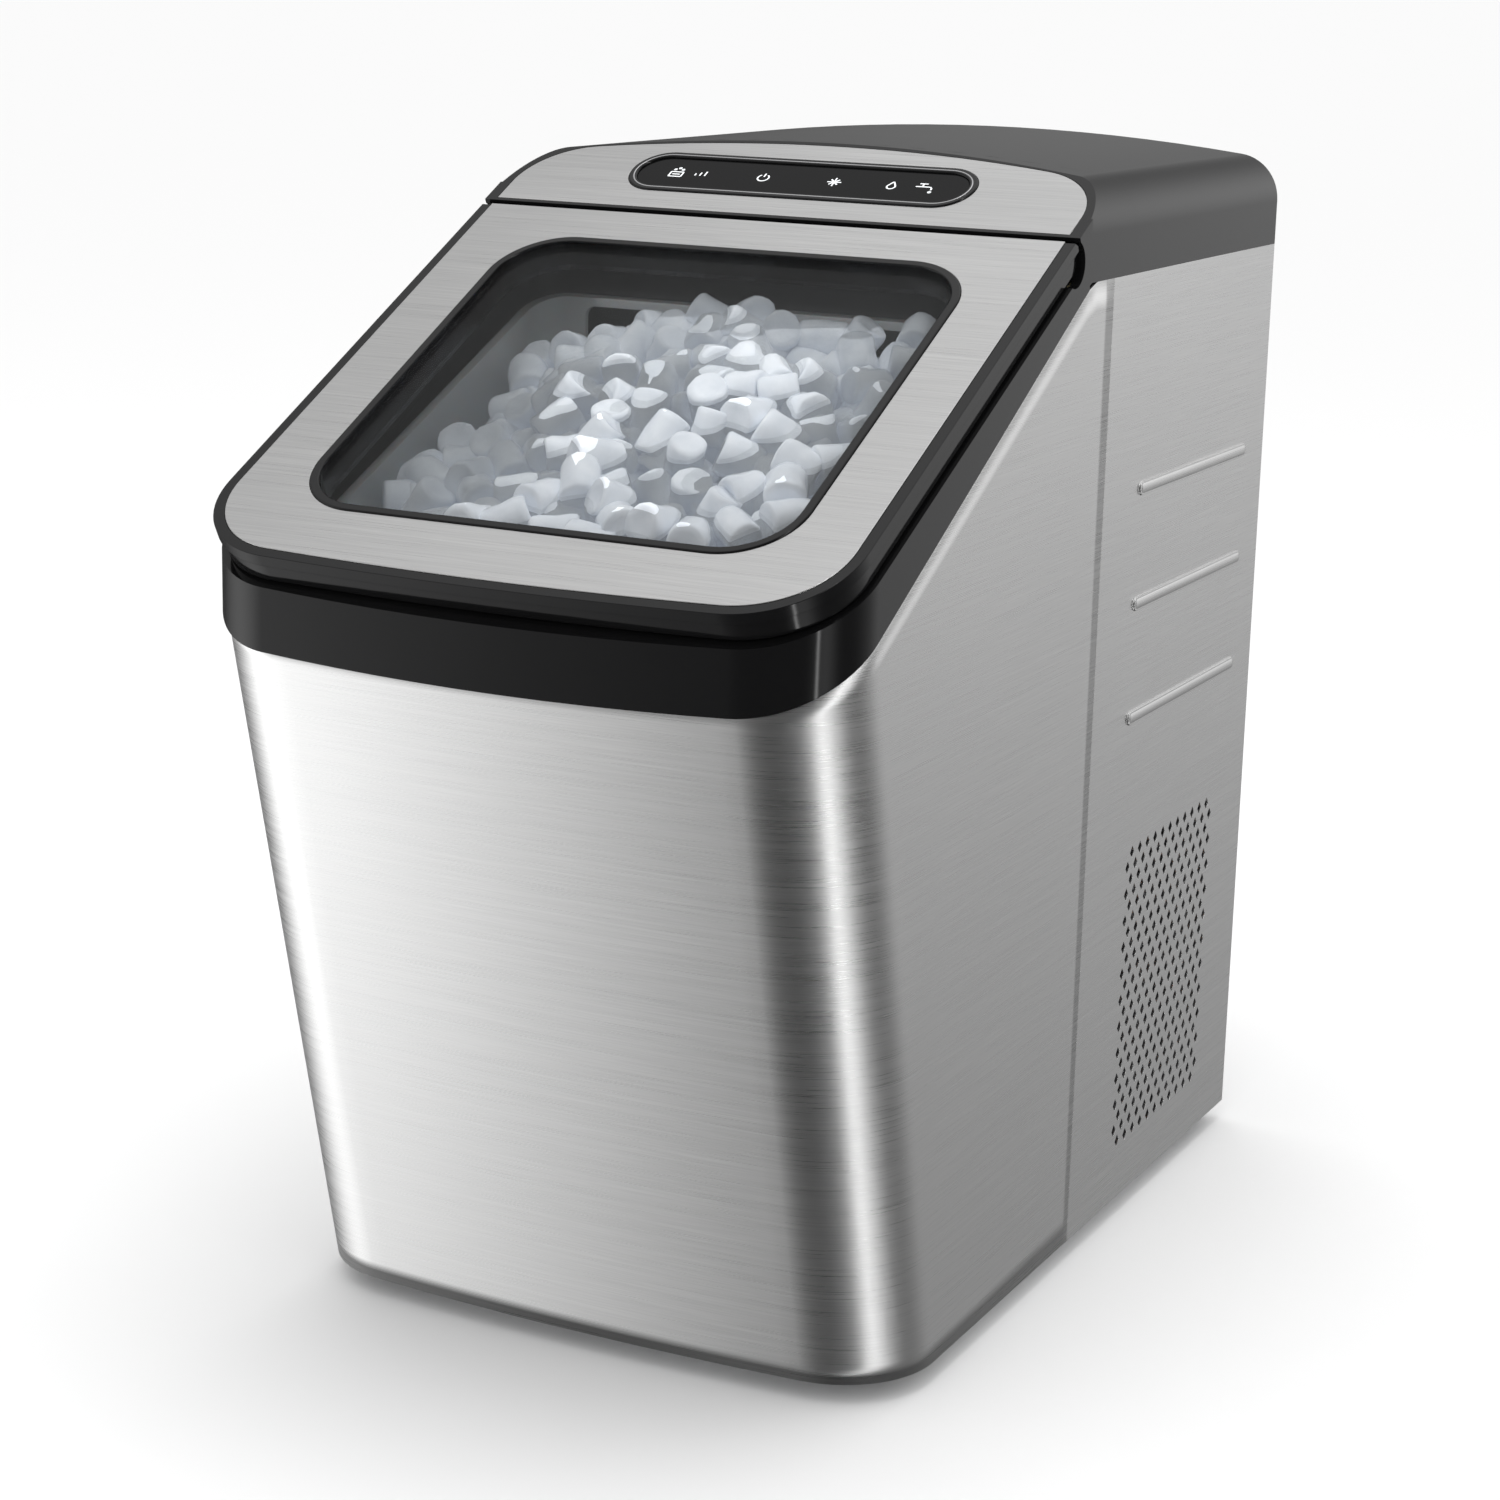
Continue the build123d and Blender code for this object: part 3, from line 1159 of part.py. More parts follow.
hood_top = HEAD_TOP + HOOD_ROOM
with BuildPart() as head_hood:
    add(upright(BARREL_X, BARREL_D, hood_r, BARREL_TOP, hood_top))
    add(upright(BARREL_X, BARREL_D, HEAD_R, BARREL_TOP, hood_top - 2), mode=Mode.SUBTRACT)
    with BuildSketch(Plane.XY.offset(at_z(chute_line[0][1]))):
        with Locations((BARREL_X, at_y(BARREL_D + HEAD_R))):
            Rectangle(2 * CHUTE_HALF, 30)
    extrude(amount=hood_top - 2 - chute_line[0][1], mode=Mode.SUBTRACT)
head_hood.part.label = "head_hood"
export_step(head_hood.part, "parts/head_hood.step")

# ------------------------------------------------------------------ gearbox and drive motor
first_centres = MODULE * (SMALL_TEETH + OUTPUT_TEETH) / 2
second_centres = MODULE * (PINION_TEETH + WHEEL_TEETH) / 2
idler_turn = math.radians(IDLER_ANGLE)
motor_turn = math.radians(MOTOR_ANGLE)
IDLER = (
    BARREL_X + first_centres * math.cos(idler_turn), BARREL_D - first_centres * math.sin(idler_turn)
)
MOTOR = (
    IDLER[0] + second_centres * math.cos(motor_turn), IDLER[1] - second_centres * math.sin(motor_turn)
)
output_phase = 0.0
small_phase = meshing_phase(SMALL_TEETH, OUTPUT_TEETH, output_phase, idler_turn)
wheel_phase = 0.0
pinion_phase = meshing_phase(PINION_TEETH, WHEEL_TEETH, wheel_phase, motor_turn)

with BuildPart() as output_gear:
    add(gear_blank(OUTPUT_TEETH, output_phase, BARREL_X, BARREL_D, UPPER_GEARS, SHAFT_R))
output_gear.part.label = "output_gear"
export_step(output_gear.part, "parts/output_gear.step")

idler_bore = IDLER_PIN_R + SHAFT_GAP
with BuildPart() as idler_gear:
    add(gear_blank(WHEEL_TEETH, wheel_phase, *IDLER, LOWER_GEARS, idler_bore))
    add(gear_blank(SMALL_TEETH, small_phase, *IDLER, UPPER_GEARS, idler_bore))
    add(upright(*IDLER, IDLER_PIN_R + 3, LOWER_GEARS + GEAR_T, UPPER_GEARS))
    add(upright(*IDLER, idler_bore, LOWER_GEARS, UPPER_GEARS + GEAR_T), mode=Mode.SUBTRACT)
idler_gear.part.label = "idler_gear"
export_step(idler_gear.part, "parts/idler_gear.step")

motor_low = CASE_FLOOR - CASE_WALL - MOTOR_H
with BuildPart() as motor_pinion:
    add(gear_blank(PINION_TEETH, pinion_phase, *MOTOR, LOWER_GEARS, MOTOR_SHAFT_R))
    add(upright(*MOTOR, MOTOR_SHAFT_R, motor_low + 8, LOWER_GEARS + GEAR_T))
motor_pinion.part.label = "motor_pinion"
export_step(motor_pinion.part, "parts/motor_pinion.step")

case_left = min(BARREL_X - MODULE * OUTPUT_TEETH / 2, MOTOR[0] - MODULE * PINION_TEETH / 2) - CASE_ROOM
case_right = IDLER[0] + MODULE * WHEEL_TEETH / 2 + CASE_ROOM
case_back = BARREL_D - MODULE * OUTPUT_TEETH / 2 - CASE_ROOM
case_front = BULKHEAD_D - BULKHEAD_T
case_middle = ((case_left + case_right) / 2, at_y((case_back + case_front) / 2))
case_size = (case_right - case_left, case_front - case_back)
with BuildPart() as gear_case:
    with BuildSketch(Plane.XY.offset(at_z(CASE_FLOOR - CASE_WALL))):
        with Locations(case_middle):
            RectangleRounded(*case_size, CASE_R)
    extrude(amount=CASE_TOP - CASE_LID_T - CASE_FLOOR + CASE_WALL)
    with BuildSketch(Plane.XY.offset(at_z(CASE_FLOOR))):
        with Locations(case_middle):
            RectangleRounded(case_size[0] - 2 * CASE_WALL, case_size[1] - 2 * CASE_WALL, CASE_R - CASE_WALL)
    extrude(amount=CASE_TOP, mode=Mode.SUBTRACT)
    add(upright(*MOTOR, MOTOR_SHAFT_R + 1, CASE_FLOOR - CASE_WALL, CASE_FLOOR), mode=Mode.SUBTRACT)
    add(upright(*IDLER, IDLER_PIN_R, CASE_FLOOR, CASE_TOP - CASE_LID_T))
gear_case.part.label = "gear_case"
export_step(gear_case.part, "parts/gear_case.step")

with BuildPart() as gear_case_lid:
    with BuildSketch(Plane.XY.offset(at_z(CASE_TOP - CASE_LID_T))):
        with Locations(case_middle):
            RectangleRounded(*case_size, CASE_R)
        with Locations((BARREL_X, at_y(BARREL_D))):
            Circle(SHAFT_R + 2, mode=Mode.SUBTRACT)
    extrude(amount=CASE_LID_T)
gear_case_lid.part.label = "gear_case_lid"
export_step(gear_case_lid.part, "parts/gear_case_lid.step")

with BuildPart() as drive_motor:
    add(upright(*MOTOR, MOTOR_R, motor_low, CASE_FLOOR - CASE_WALL))
    chamfer(drive_motor.faces().sort_by(Axis.Z)[0].edges(), 3)
    add(
        upright(*MOTOR, MOTOR_SHAFT_R + SHAFT_GAP, motor_low + 8, CASE_FLOOR - CASE_WALL),
        mode=Mode.SUBTRACT,
    )
drive_motor.part.label = "drive_motor"
export_step(drive_motor.part, "parts/drive_motor.step")

# ------------------------------------------------------------------ compressor
comp_seat = BASE_TOP + GROMMET_H
comp_top = comp_seat + COMP_H
grommet_places = [
    (COMP_X + x, at_y(COMP_D + d))
    for x in (-GROMMET_AT[0], GROMMET_AT[0])
    for d in (-GROMMET_AT[1], GROMMET_AT[1])
]
with BuildPart() as compressor:
    with BuildSketch(Plane.XY.offset(at_z(comp_seat))):
        with Locations((COMP_X, at_y(COMP_D))):
            RectangleRounded(COMP_PLATE[0], COMP_PLATE[1], 12)
        with Locations(grommet_places):
            Circle(3, mode=Mode.SUBTRACT)
    extrude(amount=COMP_PLATE[2])
    add(upright(COMP_X, COMP_D, COMP_R - COMP_STEP, comp_seat + 1, comp_top))
    fillet(compressor.edges().filter_by(GeomType.CIRCLE).sort_by(Axis.Z)[-1], COMP_DOME)
    with BuildSketch(Plane.XY.offset(at_z(comp_seat + COMP_SEAM))):
        with Locations((COMP_X, at_y(COMP_D))):
            Circle(COMP_R)
    extrude(amount=4)
compressor.part.label = "compressor"
export_step(compressor.part, "parts/compressor.step")

with BuildPart() as compressor_grommets:
    with BuildSketch(Plane.XY.offset(at_z(BASE_TOP))):
        with Locations(grommet_places):
            Circle(GROMMET_R)
    extrude(amount=GROMMET_H)
    with BuildSketch(Plane.XY.offset(at_z(BASE_TOP))):
        with Locations(grommet_places):
            Circle(3)
    extrude(amount=GROMMET_H + COMP_PLATE[2] + 1)
compressor_grommets.part.label = "compressor_grommets"
export_step(compressor_grommets.part, "parts/compressor_grommets.step")

# ------------------------------------------------------------------ condenser and fan
cond_x = HALF - SHEET - COND_GAP - COND_T / 2
cond_low = BASE_TOP
cond_middle = cond_low + COND_H / 2
fin_step = (COND_W - FIN_T) / (FIN_COUNT - 1)
row_heights = [cond_middle + COND_PITCH * (i - (COND_ROWS - 1) / 2) for i in range(COND_ROWS)]
with BuildPart() as condenser_fins:
    for fin in range(FIN_COUNT):
        fin_d = COND_D - COND_W / 2 + fin * fin_step
        with BuildSketch(Plane.XZ.offset(-at_y(fin_d))):
            with Locations((cond_x, at_z(cond_middle))):
                Rectangle(COND_T, COND_H)
            with Locations([(cond_x, at_z(height)) for height in row_heights]):
                Circle(COND_TUBE_R, mode=Mode.SUBTRACT)
    extrude(amount=FIN_T)
condenser_fins.part.label = "condenser_fins"
export_step(condenser_fins.part, "parts/condenser_fins.step")

tube_back = COND_D - COND_W / 2 - COND_END
tube_front = COND_D + COND_W / 2 + COND_END
serpentine = []
for row, height in enumerate(reversed(row_heights)):
    ends = (tube_back, tube_front) if row % 2 == 0 else (tube_front, tube_back)
    serpentine += [(cond_x, ends[0], height), (cond_x, ends[1], height)]
with BuildPart() as condenser_tube:
    add(pipe(serpentine, COND_TUBE_R, COND_END - 1))
condenser_tube.part.label = "condenser_tube"
export_step(condenser_tube.part, "parts/condenser_tube.step")

shroud_x = cond_x - COND_T / 2 - SHROUD_T
fan_axis = Plane(origin=(shroud_x, at_y(COND_D), at_z(cond_middle)), x_dir=(0, 1, 0), z_dir=(1, 0, 0))
with BuildPart() as fan_shroud:
    with BuildSketch(fan_axis):
        Rectangle(COND_W, COND_H)
    extrude(amount=SHROUD_T)
    with BuildSketch(fan_axis):
        Circle(FAN_R + FAN_GAP)
    extrude(amount=SHROUD_T, mode=Mode.SUBTRACT)
    with BuildSketch(fan_axis):
        Circle(FAN_MOTOR_R)
        Rectangle(2 * FAN_R + 2 * FAN_GAP + 4, 8)
        Rectangle(8, 2 * FAN_R + 2 * FAN_GAP + 4)
        Circle(FAN_SHAFT_R + 1, mode=Mode.SUBTRACT)
    extrude(amount=FAN_SEAT_T)
fan_shroud.part.label = "fan_shroud"
export_step(fan_shroud.part, "parts/fan_shroud.step")

with BuildPart() as fan_motor:
    with BuildSketch(fan_axis):
        Circle(FAN_MOTOR_R)
        Circle(FAN_SHAFT_R + SHAFT_GAP, mode=Mode.SUBTRACT)
    extrude(amount=-FAN_MOTOR_H)
fan_motor.part.label = "fan_motor"
export_step(fan_motor.part, "parts/fan_motor.step")

blade_low = FAN_SEAT_T + 2
with BuildSketch(fan_axis.offset(blade_low)) as blade_section:
    Circle(FAN_HUB_R)
    with PolarLocations(FAN_R / 2, FAN_BLADES):
        Rectangle(FAN_R, BLADE_T)
blades = Solid.extrude_linear_with_rotation(
    blade_section.sketch.face(),
    center=fan_axis.offset(blade_low).origin,
    normal=(FAN_W, 0, 0),
    angle=FAN_TWIST,
)
with BuildPart() as condenser_fan:
    add(blades)
    with BuildSketch(fan_axis):
        Circle(FAN_SHAFT_R)
    extrude(amount=blade_low)
    with BuildSketch(fan_axis):
        Circle(FAN_SHAFT_R)
    extrude(amount=-FAN_MOTOR_H)
condenser_fan.part.label = "condenser_fan"
export_step(condenser_fan.part, "parts/condenser_fan.step")

# ------------------------------------------------------------------ refrigerant pipes
suction_at = (COMP_X + SUCTION_STUB[0], COMP_D + SUCTION_STUB[1])
discharge_at = (COMP_X + DISCHARGE_STUB[0], COMP_D + DISCHARGE_STUB[1])
with BuildPart() as discharge_line:
    add(
        pipe(
            [(*discharge_at, comp_top - 6), (*discharge_at, comp_top + 10),
             (cond_x, tube_back - 6, comp_top + 10), (cond_x, tube_back - 6, row_heights[-1]),
             (cond_x, tube_back, row_heights[-1])],
            LINE_R, LINE_BEND,
        )
    )
    add(compressor.part, mode=Mode.SUBTRACT)
discharge_line.part.label = "discharge_line"
export_step(discharge_line.part, "parts/discharge_line.step")

drier_d = tube_front + DRIER_OFF
drier_low, drier_high = row_heights[0] + DRIER_LIFT, row_heights[0] + DRIER_LIFT + DRIER_L
with BuildPart() as filter_drier:
    add(upright(cond_x, drier_d, 8, drier_low, drier_high))
    chamfer(filter_drier.edges().filter_by(GeomType.CIRCLE), 3)
    add(
        pipe(
            [(cond_x, tube_front, row_heights[0]), (cond_x, drier_d, row_heights[0]),
             (cond_x, drier_d, drier_low)],
            LINE_R, LINE_BEND,
        )
    )
    add(
        pipe(
            [(cond_x, drier_d, drier_high), (cond_x, drier_d, coil_base),
             (BARREL_X + coil_r, drier_d, coil_base),
             (BARREL_X + coil_r, BARREL_D + BRAZE_GAP, coil_base)],
            CAPILLARY_R, LINE_BEND,
        )
    )
filter_drier.part.label = "filter_drier"
export_step(filter_drier.part, "parts/filter_drier.step")

with BuildPart() as suction_line:
    add(
        pipe(
            [(BARREL_X + coil_r, BARREL_D - BRAZE_GAP, coil_top),
             (BARREL_X + coil_r, suction_at[1], coil_top),
             (suction_at[0], suction_at[1], coil_top), (*suction_at, comp_top - SUCTION_DEPTH)],
            LINE_R, LINE_BEND,
        )
    )
    add(compressor.part, mode=Mode.SUBTRACT)
suction_line.part.label = "suction_line"
export_step(suction_line.part, "parts/suction_line.step")

# ------------------------------------------------------------------ water pump, hoses and drain
pump_room = (BASE_TOP + 8, BASE_TOP + 8 + IMPELLER_H + 2)
with BuildPart() as water_pump:
    add(upright(PUMP_X, PUMP_D, PUMP_R, BASE_TOP, BASE_TOP + PUMP_H))
    add(upright(PUMP_X, PUMP_D, IMPELLER_R + 1, *pump_room), mode=Mode.SUBTRACT)
    add(upright(PUMP_X, PUMP_D, 2 + SHAFT_GAP, BASE_TOP + 3, BASE_TOP + PUMP_H - 4), mode=Mode.SUBTRACT)
    with BuildSketch(Plane.XZ.offset(-at_y(PUMP_D + PUMP_R - 1))):
        with Locations((PUMP_X, at_z(BASE_TOP + PUMP_H / 2))):
            Circle(5)
    extrude(amount=BULKHEAD_D - BULKHEAD_T - PUMP_D - PUMP_R + 1)
water_pump.part.label = "water_pump"
export_step(water_pump.part, "parts/water_pump.step")

with BuildPart() as pump_impeller:
    add(upright(PUMP_X, PUMP_D, 2, BASE_TOP + 4, BASE_TOP + PUMP_H - 5))
    with BuildSketch(Plane.XY.offset(at_z(pump_room[0] + 1))):
        with Locations((PUMP_X, at_y(PUMP_D))):
            Circle(IMPELLER_R)
    extrude(amount=2)
    with BuildSketch(Plane.XY.offset(at_z(pump_room[0] + 3))):
        with Locations((PUMP_X, at_y(PUMP_D))):
            Circle(4)
            with PolarLocations(IMPELLER_R / 2, 6):
                Rectangle(IMPELLER_R - 0.6, 1.6)
    extrude(amount=IMPELLER_H - 2)
pump_impeller.part.label = "pump_impeller"
export_step(pump_impeller.part, "parts/pump_impeller.step")

inlet_height = CASE_TOP + 6
with BuildPart() as supply_hose:
    add(
        pipe(
            [(PUMP_X, PUMP_D, BASE_TOP + PUMP_H), (PUMP_X, PUMP_D, inlet_height),
             (PUMP_X, BARREL_D, inlet_height), (BARREL_X - barrel_out + 1, BARREL_D, inlet_height)],
            HOSE_R, 24,
        )
    )
    add(upright(BARREL_X, BARREL_D, barrel_out, CASE_TOP, BARREL_TOP), mode=Mode.SUBTRACT)
supply_hose.part.label = "supply_hose"
export_step(supply_hose.part, "parts/supply_hose.step")

hose_side = -(HALF - SHEET - DRAIN_HOSE_R - 5)
with BuildPart() as drain_hose:
    add(
        pipe(
            [(-94, BULKHEAD_D - BULKHEAD_T, DRAIN_H), (-94, PUMP_D, DRAIN_H),
             (hose_side, COMP_D + COMP_R + 12, DRAIN_H), (hose_side, COMP_D - 20, DRAIN_H),
             (DRAIN_X, SPIGOT_L + 12, DRAIN_H), (DRAIN_X, SPIGOT_L, DRAIN_H)],
            DRAIN_HOSE_R, 20,
        )
    )
drain_hose.part.label = "drain_hose"
export_step(drain_hose.part, "parts/drain_hose.step")

drain_axis = Plane(origin=(DRAIN_X, BACK_Y, at_z(DRAIN_H)), x_dir=(-1, 0, 0), z_dir=(0, 1, 0))
with BuildPart() as drain_spigot:
    with BuildSketch(drain_axis):
        Circle(SPIGOT_R)
    extrude(amount=-SPIGOT_L)
    with BuildSketch(drain_axis.offset(-SHEET)):
        Circle(SPIGOT_R + SPIGOT_FLANGE)
    extrude(amount=-2)
    with BuildSketch(drain_axis):
        Circle(DRAIN_BORE_R)
    extrude(amount=-SPIGOT_L + 2, mode=Mode.SUBTRACT)
    add(base_pan.part, mode=Mode.SUBTRACT)
drain_spigot.part.label = "drain_spigot"
export_step(drain_spigot.part, "parts/drain_spigot.step")

with BuildPart() as drain_plug:
    with BuildSketch(drain_axis):
        Circle(DRAIN_BORE_R - PLUG_GAP)
    extrude(amount=-PLUG_STEM)
    with BuildSketch(drain_axis):
        Circle(PLUG_CAP_R)
    extrude(amount=PLUG_PROUD)
    chamfer(drain_plug.faces().sort_by(Axis.Y)[-1].edges(), 1.2)
drain_plug.part.label = "drain_plug"
export_step(drain_plug.part, "parts/drain_plug.step")

# ------------------------------------------------------------------ power side
inlet_axis = Plane(origin=(INLET_X, BACK_Y, at_z(INLET_H)), x_dir=(-1, 0, 0), z_dir=(0, 1, 0))
with BuildPart() as power_inlet:
    with BuildSketch(inlet_axis):
        RectangleRounded(INLET_SIZE[0] + 2 * INLET_RIM, INLET_SIZE[1] + 2 * INLET_RIM, 3)
    extrude(amount=2)
    with BuildSketch(inlet_axis):
        Rectangle(*INLET_SIZE)
    extrude(amount=-22)
    with BuildSketch(inlet_axis.offset(2)):
        RectangleRounded(INLET_SIZE[0] - 20, INLET_SIZE[1] - 8, 3)
    extrude(amount=-INLET_DEPTH - 2, mode=Mode.SUBTRACT)
    with BuildSketch(inlet_axis.offset(-INLET_DEPTH)):
        with Locations((-7, -2), (0, 2.5), (7, -2)):
            Rectangle(2, 5)
    extrude(amount=PIN_LONG)
power_inlet.part.label = "power_inlet"
export_step(power_inlet.part, "parts/power_inlet.step")

left_inside = Plane(origin=(-HALF + SHEET, 0, 0), x_dir=(0, 1, 0), z_dir=(1, 0, 0))
board_middle = (at_y(POWER_BOARD_AT[0]), at_z(POWER_BOARD_AT[1]))
with BuildPart() as power_board:
    with BuildSketch(left_inside.offset(BOARD_WIRES)):
        with Locations(board_middle):
            Rectangle(*POWER_BOARD)
    extrude(amount=BOARD_T)
    with BuildSketch(left_inside):
        with Locations(board_middle):
            with GridLocations(POWER_BOARD[0] - 10, POWER_BOARD[1] - 10, 2, 2):
                Circle(3)
    extrude(amount=BOARD_WIRES)
    with BuildSketch(left_inside.offset(BOARD_WIRES + BOARD_T)):
        with Locations(board_middle):
            with Locations(*RELAY_PLACES):
                Rectangle(*RELAY_SIZE)
            with Locations(*CAPACITOR_PLACES):
                Circle(CAPACITOR_R)
    extrude(amount=CAPACITOR_H)
power_board.part.label = "power_board"
export_step(power_board.part, "parts/power_board.step")

with BuildPart() as case_screws:
    add(screw_shanks.part)
    with BuildSketch(screw_axes):
        with Locations([(x, at_z(height)) for x, height in SCREW_PLACES]):
            Circle(SCREW_HEAD[0])
    extrude(amount=SCREW_HEAD[1])
    chamfer(case_screws.faces().sort_by(Axis.Y)[-6:].edges(), 0.6)
case_screws.part.label = "case_screws"
export_step(case_screws.part, "parts/case_screws.step")
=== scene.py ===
import json
import math

import bmesh
import bpy
from mathutils import Matrix, Vector

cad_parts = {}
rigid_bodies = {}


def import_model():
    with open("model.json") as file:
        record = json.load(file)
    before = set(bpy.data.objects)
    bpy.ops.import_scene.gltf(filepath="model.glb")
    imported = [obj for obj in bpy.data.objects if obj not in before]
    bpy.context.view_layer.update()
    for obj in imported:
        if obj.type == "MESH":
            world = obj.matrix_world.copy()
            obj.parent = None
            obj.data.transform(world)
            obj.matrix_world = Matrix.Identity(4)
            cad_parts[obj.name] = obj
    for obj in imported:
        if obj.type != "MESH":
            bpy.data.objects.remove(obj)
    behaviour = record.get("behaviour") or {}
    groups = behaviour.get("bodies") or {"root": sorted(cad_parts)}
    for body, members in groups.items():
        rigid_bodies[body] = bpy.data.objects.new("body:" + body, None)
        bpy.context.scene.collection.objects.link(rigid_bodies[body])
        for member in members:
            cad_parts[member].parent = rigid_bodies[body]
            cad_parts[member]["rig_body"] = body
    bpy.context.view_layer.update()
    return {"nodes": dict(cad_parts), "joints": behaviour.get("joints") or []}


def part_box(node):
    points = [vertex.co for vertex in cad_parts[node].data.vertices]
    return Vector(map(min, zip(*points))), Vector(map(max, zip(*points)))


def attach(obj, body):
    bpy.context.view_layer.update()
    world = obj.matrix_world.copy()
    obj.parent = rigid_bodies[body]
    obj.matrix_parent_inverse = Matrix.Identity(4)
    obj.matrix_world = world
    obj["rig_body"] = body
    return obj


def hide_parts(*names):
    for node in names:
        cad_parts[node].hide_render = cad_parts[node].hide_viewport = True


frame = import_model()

# ---------------------------------------------------------------- camera
# A long lens, a little above the lid and to the user's right of the machine.
AZIMUTH, ELEVATION, ROLL = (math.radians(v) for v in (26.78, 13.32, 1.45))
LENS, SENSOR = 77.3, 36.0
EYE = Vector((0.5258, -1.0581, 0.4839))
away = Vector((
    math.sin(AZIMUTH) * math.cos(ELEVATION), -math.cos(AZIMUTH) * math.cos(ELEVATION), math.sin(ELEVATION)
))
level = (-away).cross(Vector((0, 0, 1))).normalized()
upward = level.cross(-away)
across = level * math.cos(ROLL) + upward * math.sin(ROLL)
above = upward * math.cos(ROLL) - level * math.sin(ROLL)
camera = bpy.data.objects.new("studio_camera", bpy.data.cameras.new("studio_camera"))
bpy.context.scene.collection.objects.link(camera)
camera.data.lens, camera.data.sensor_width = LENS, SENSOR
camera.data.shift_x, camera.data.shift_y = -0.0013, -0.0257
camera.matrix_world = Matrix.Translation(EYE) @ Matrix((across, above, away)).transposed().to_4x4()
bpy.context.scene.camera = camera
bpy.context.scene.view_settings.view_transform = "Standard"


# ---------------------------------------------------------------- steel casing
# Sheet steel with a fine horizontal brush. The front wrap is one sheet folded round two upright
# corners; the rear side panels lap behind it, with three pressed ribs and a field of diamond vents.
class Wire:
    """A shader socket that can be used in arithmetic."""

    def __init__(self, finish, socket):
        self.finish, self.socket = finish, socket

    def combine(self, operation, *values):
        return self.finish.node("ShaderNodeMath", {"operation": operation}, *values)

    def __add__(self, other):
        return self.combine("ADD", self, other)

    def __sub__(self, other):
        return self.combine("SUBTRACT", self, other)

    def __rsub__(self, other):
        return self.combine("SUBTRACT", other, self)

    def __mul__(self, other):
        return self.combine("MULTIPLY", self, other)

    def __pow__(self, other):
        return self.combine("POWER", self, other)

    __radd__, __rmul__ = __add__, __mul__


class Finish:
    """A node tree under construction, for a material or the room."""

    def __init__(self, tree):
        self.tree = tree
        tree.nodes.clear()

    def feed(self, socket, value):
        if isinstance(value, Wire):
            self.tree.links.new(value.socket, socket)
        elif value is not None:
            socket.default_value = value

    def node(self, kind, settings=None, *values, output=0, **named):
        node = self.tree.nodes.new(kind)
        for key, value in (settings or {}).items():
            setattr(node, key, value)
        for socket, value in zip(node.inputs, values):
            self.feed(socket, value)
        for key, value in named.items():
            self.feed(node.inputs[key.replace("_", " ")], value)
        return Wire(self, node.outputs[output]) if len(node.outputs) else None

    def stretched(self, scale, turn=(0.0, 0.0, 0.0)):
        place = self.node("ShaderNodeTexCoord", output=3)
        return self.node("ShaderNodeMapping", {}, place, (0.0, 0.0, 0.0), turn, scale)

    def noise(self, where, size, detail=3.0, rough=0.5):
        return self.node("ShaderNodeTexNoise", {}, Vector=where, Scale=size, Detail=detail, Roughness=rough)

    def mix(self, factor, first, second):
        node = self.tree.nodes.new("ShaderNodeMix")
        node.data_type = "RGBA"
        self.feed(node.inputs[0], factor)
        self.feed(node.inputs[6], first)
        self.feed(node.inputs[7], second)
        return Wire(self, node.outputs[2])


def material(name):
    made = bpy.data.materials.new(name)
    made.use_nodes = True
    return made, Finish(made.node_tree)


def surface(finish, shader):
    finish.node("ShaderNodeOutputMaterial", {}, shader)


def brushed_steel(name, light, dark, roughness, turn=(0.0, 0.0, 0.0), grain=1.0):
    """Steel brushed along level lines, with broken streaks and slight clouding."""
    made, finish = material(name)
    fine = finish.noise(finish.stretched((26, 26, 3600 * grain), turn), 1.0, 3.0, 0.6)
    coarse = finish.noise(finish.stretched((9, 9, 900 * grain), turn), 1.0, 3.0, 0.6)
    cloud = finish.noise(finish.stretched((1, 1, 1)), 5.0, 2.0)
    streak = fine * 0.65 + coarse * 0.35
    tone = finish.node("ShaderNodeMapRange", {}, streak, 0.3, 0.7, 0.0, 1.0)
    colour = finish.mix(tone, dark, light)
    bump = finish.node("ShaderNodeBump", {}, Strength=0.10, Distance=0.0001, Height=streak)
    surface(finish, finish.node(
        "ShaderNodeBsdfPrincipled", {}, Base_Color=colour, Metallic=1.0,
        Roughness=streak * 0.22 + cloud * 0.06 + (roughness - 0.14), Anisotropic=0.55, Normal=bump,
    ))
    return made


casing_steel = brushed_steel("casing_steel", (0.86, 0.86, 0.855, 1), (0.68, 0.68, 0.68, 1), 0.29)


def bright_edge():
    """Bare cut edge of the sheet, which catches the light."""
    made, finish = material("cut_steel_edge")
    wear = finish.noise(finish.stretched((1, 1, 1)), 420.0)
    surface(finish, finish.node(
        "ShaderNodeBsdfPrincipled", {}, Base_Color=(0.92, 0.92, 0.92, 1), Metallic=1.0,
        Roughness=wear * 0.2 + 0.12,
    ))
    return made


cut_edge = bright_edge()


def shape_from(name, points, faces):
    mesh = bpy.data.meshes.new(name)
    mesh.from_pydata([tuple(p) for p in points], [], faces)
    piece = bpy.data.objects.new(name, mesh)
    bpy.context.scene.collection.objects.link(piece)
    return piece


def settled(piece):
    """Applies the piece's modifiers, so that its mesh is plain."""
    bpy.context.view_layer.update()
    ready = piece.evaluated_get(bpy.context.evaluated_depsgraph_get())
    mesh = bpy.data.meshes.new_from_object(ready)
    piece.modifiers.clear()
    piece.data = mesh
    return piece


FLAT_ENOUGH = math.radians(0.4)


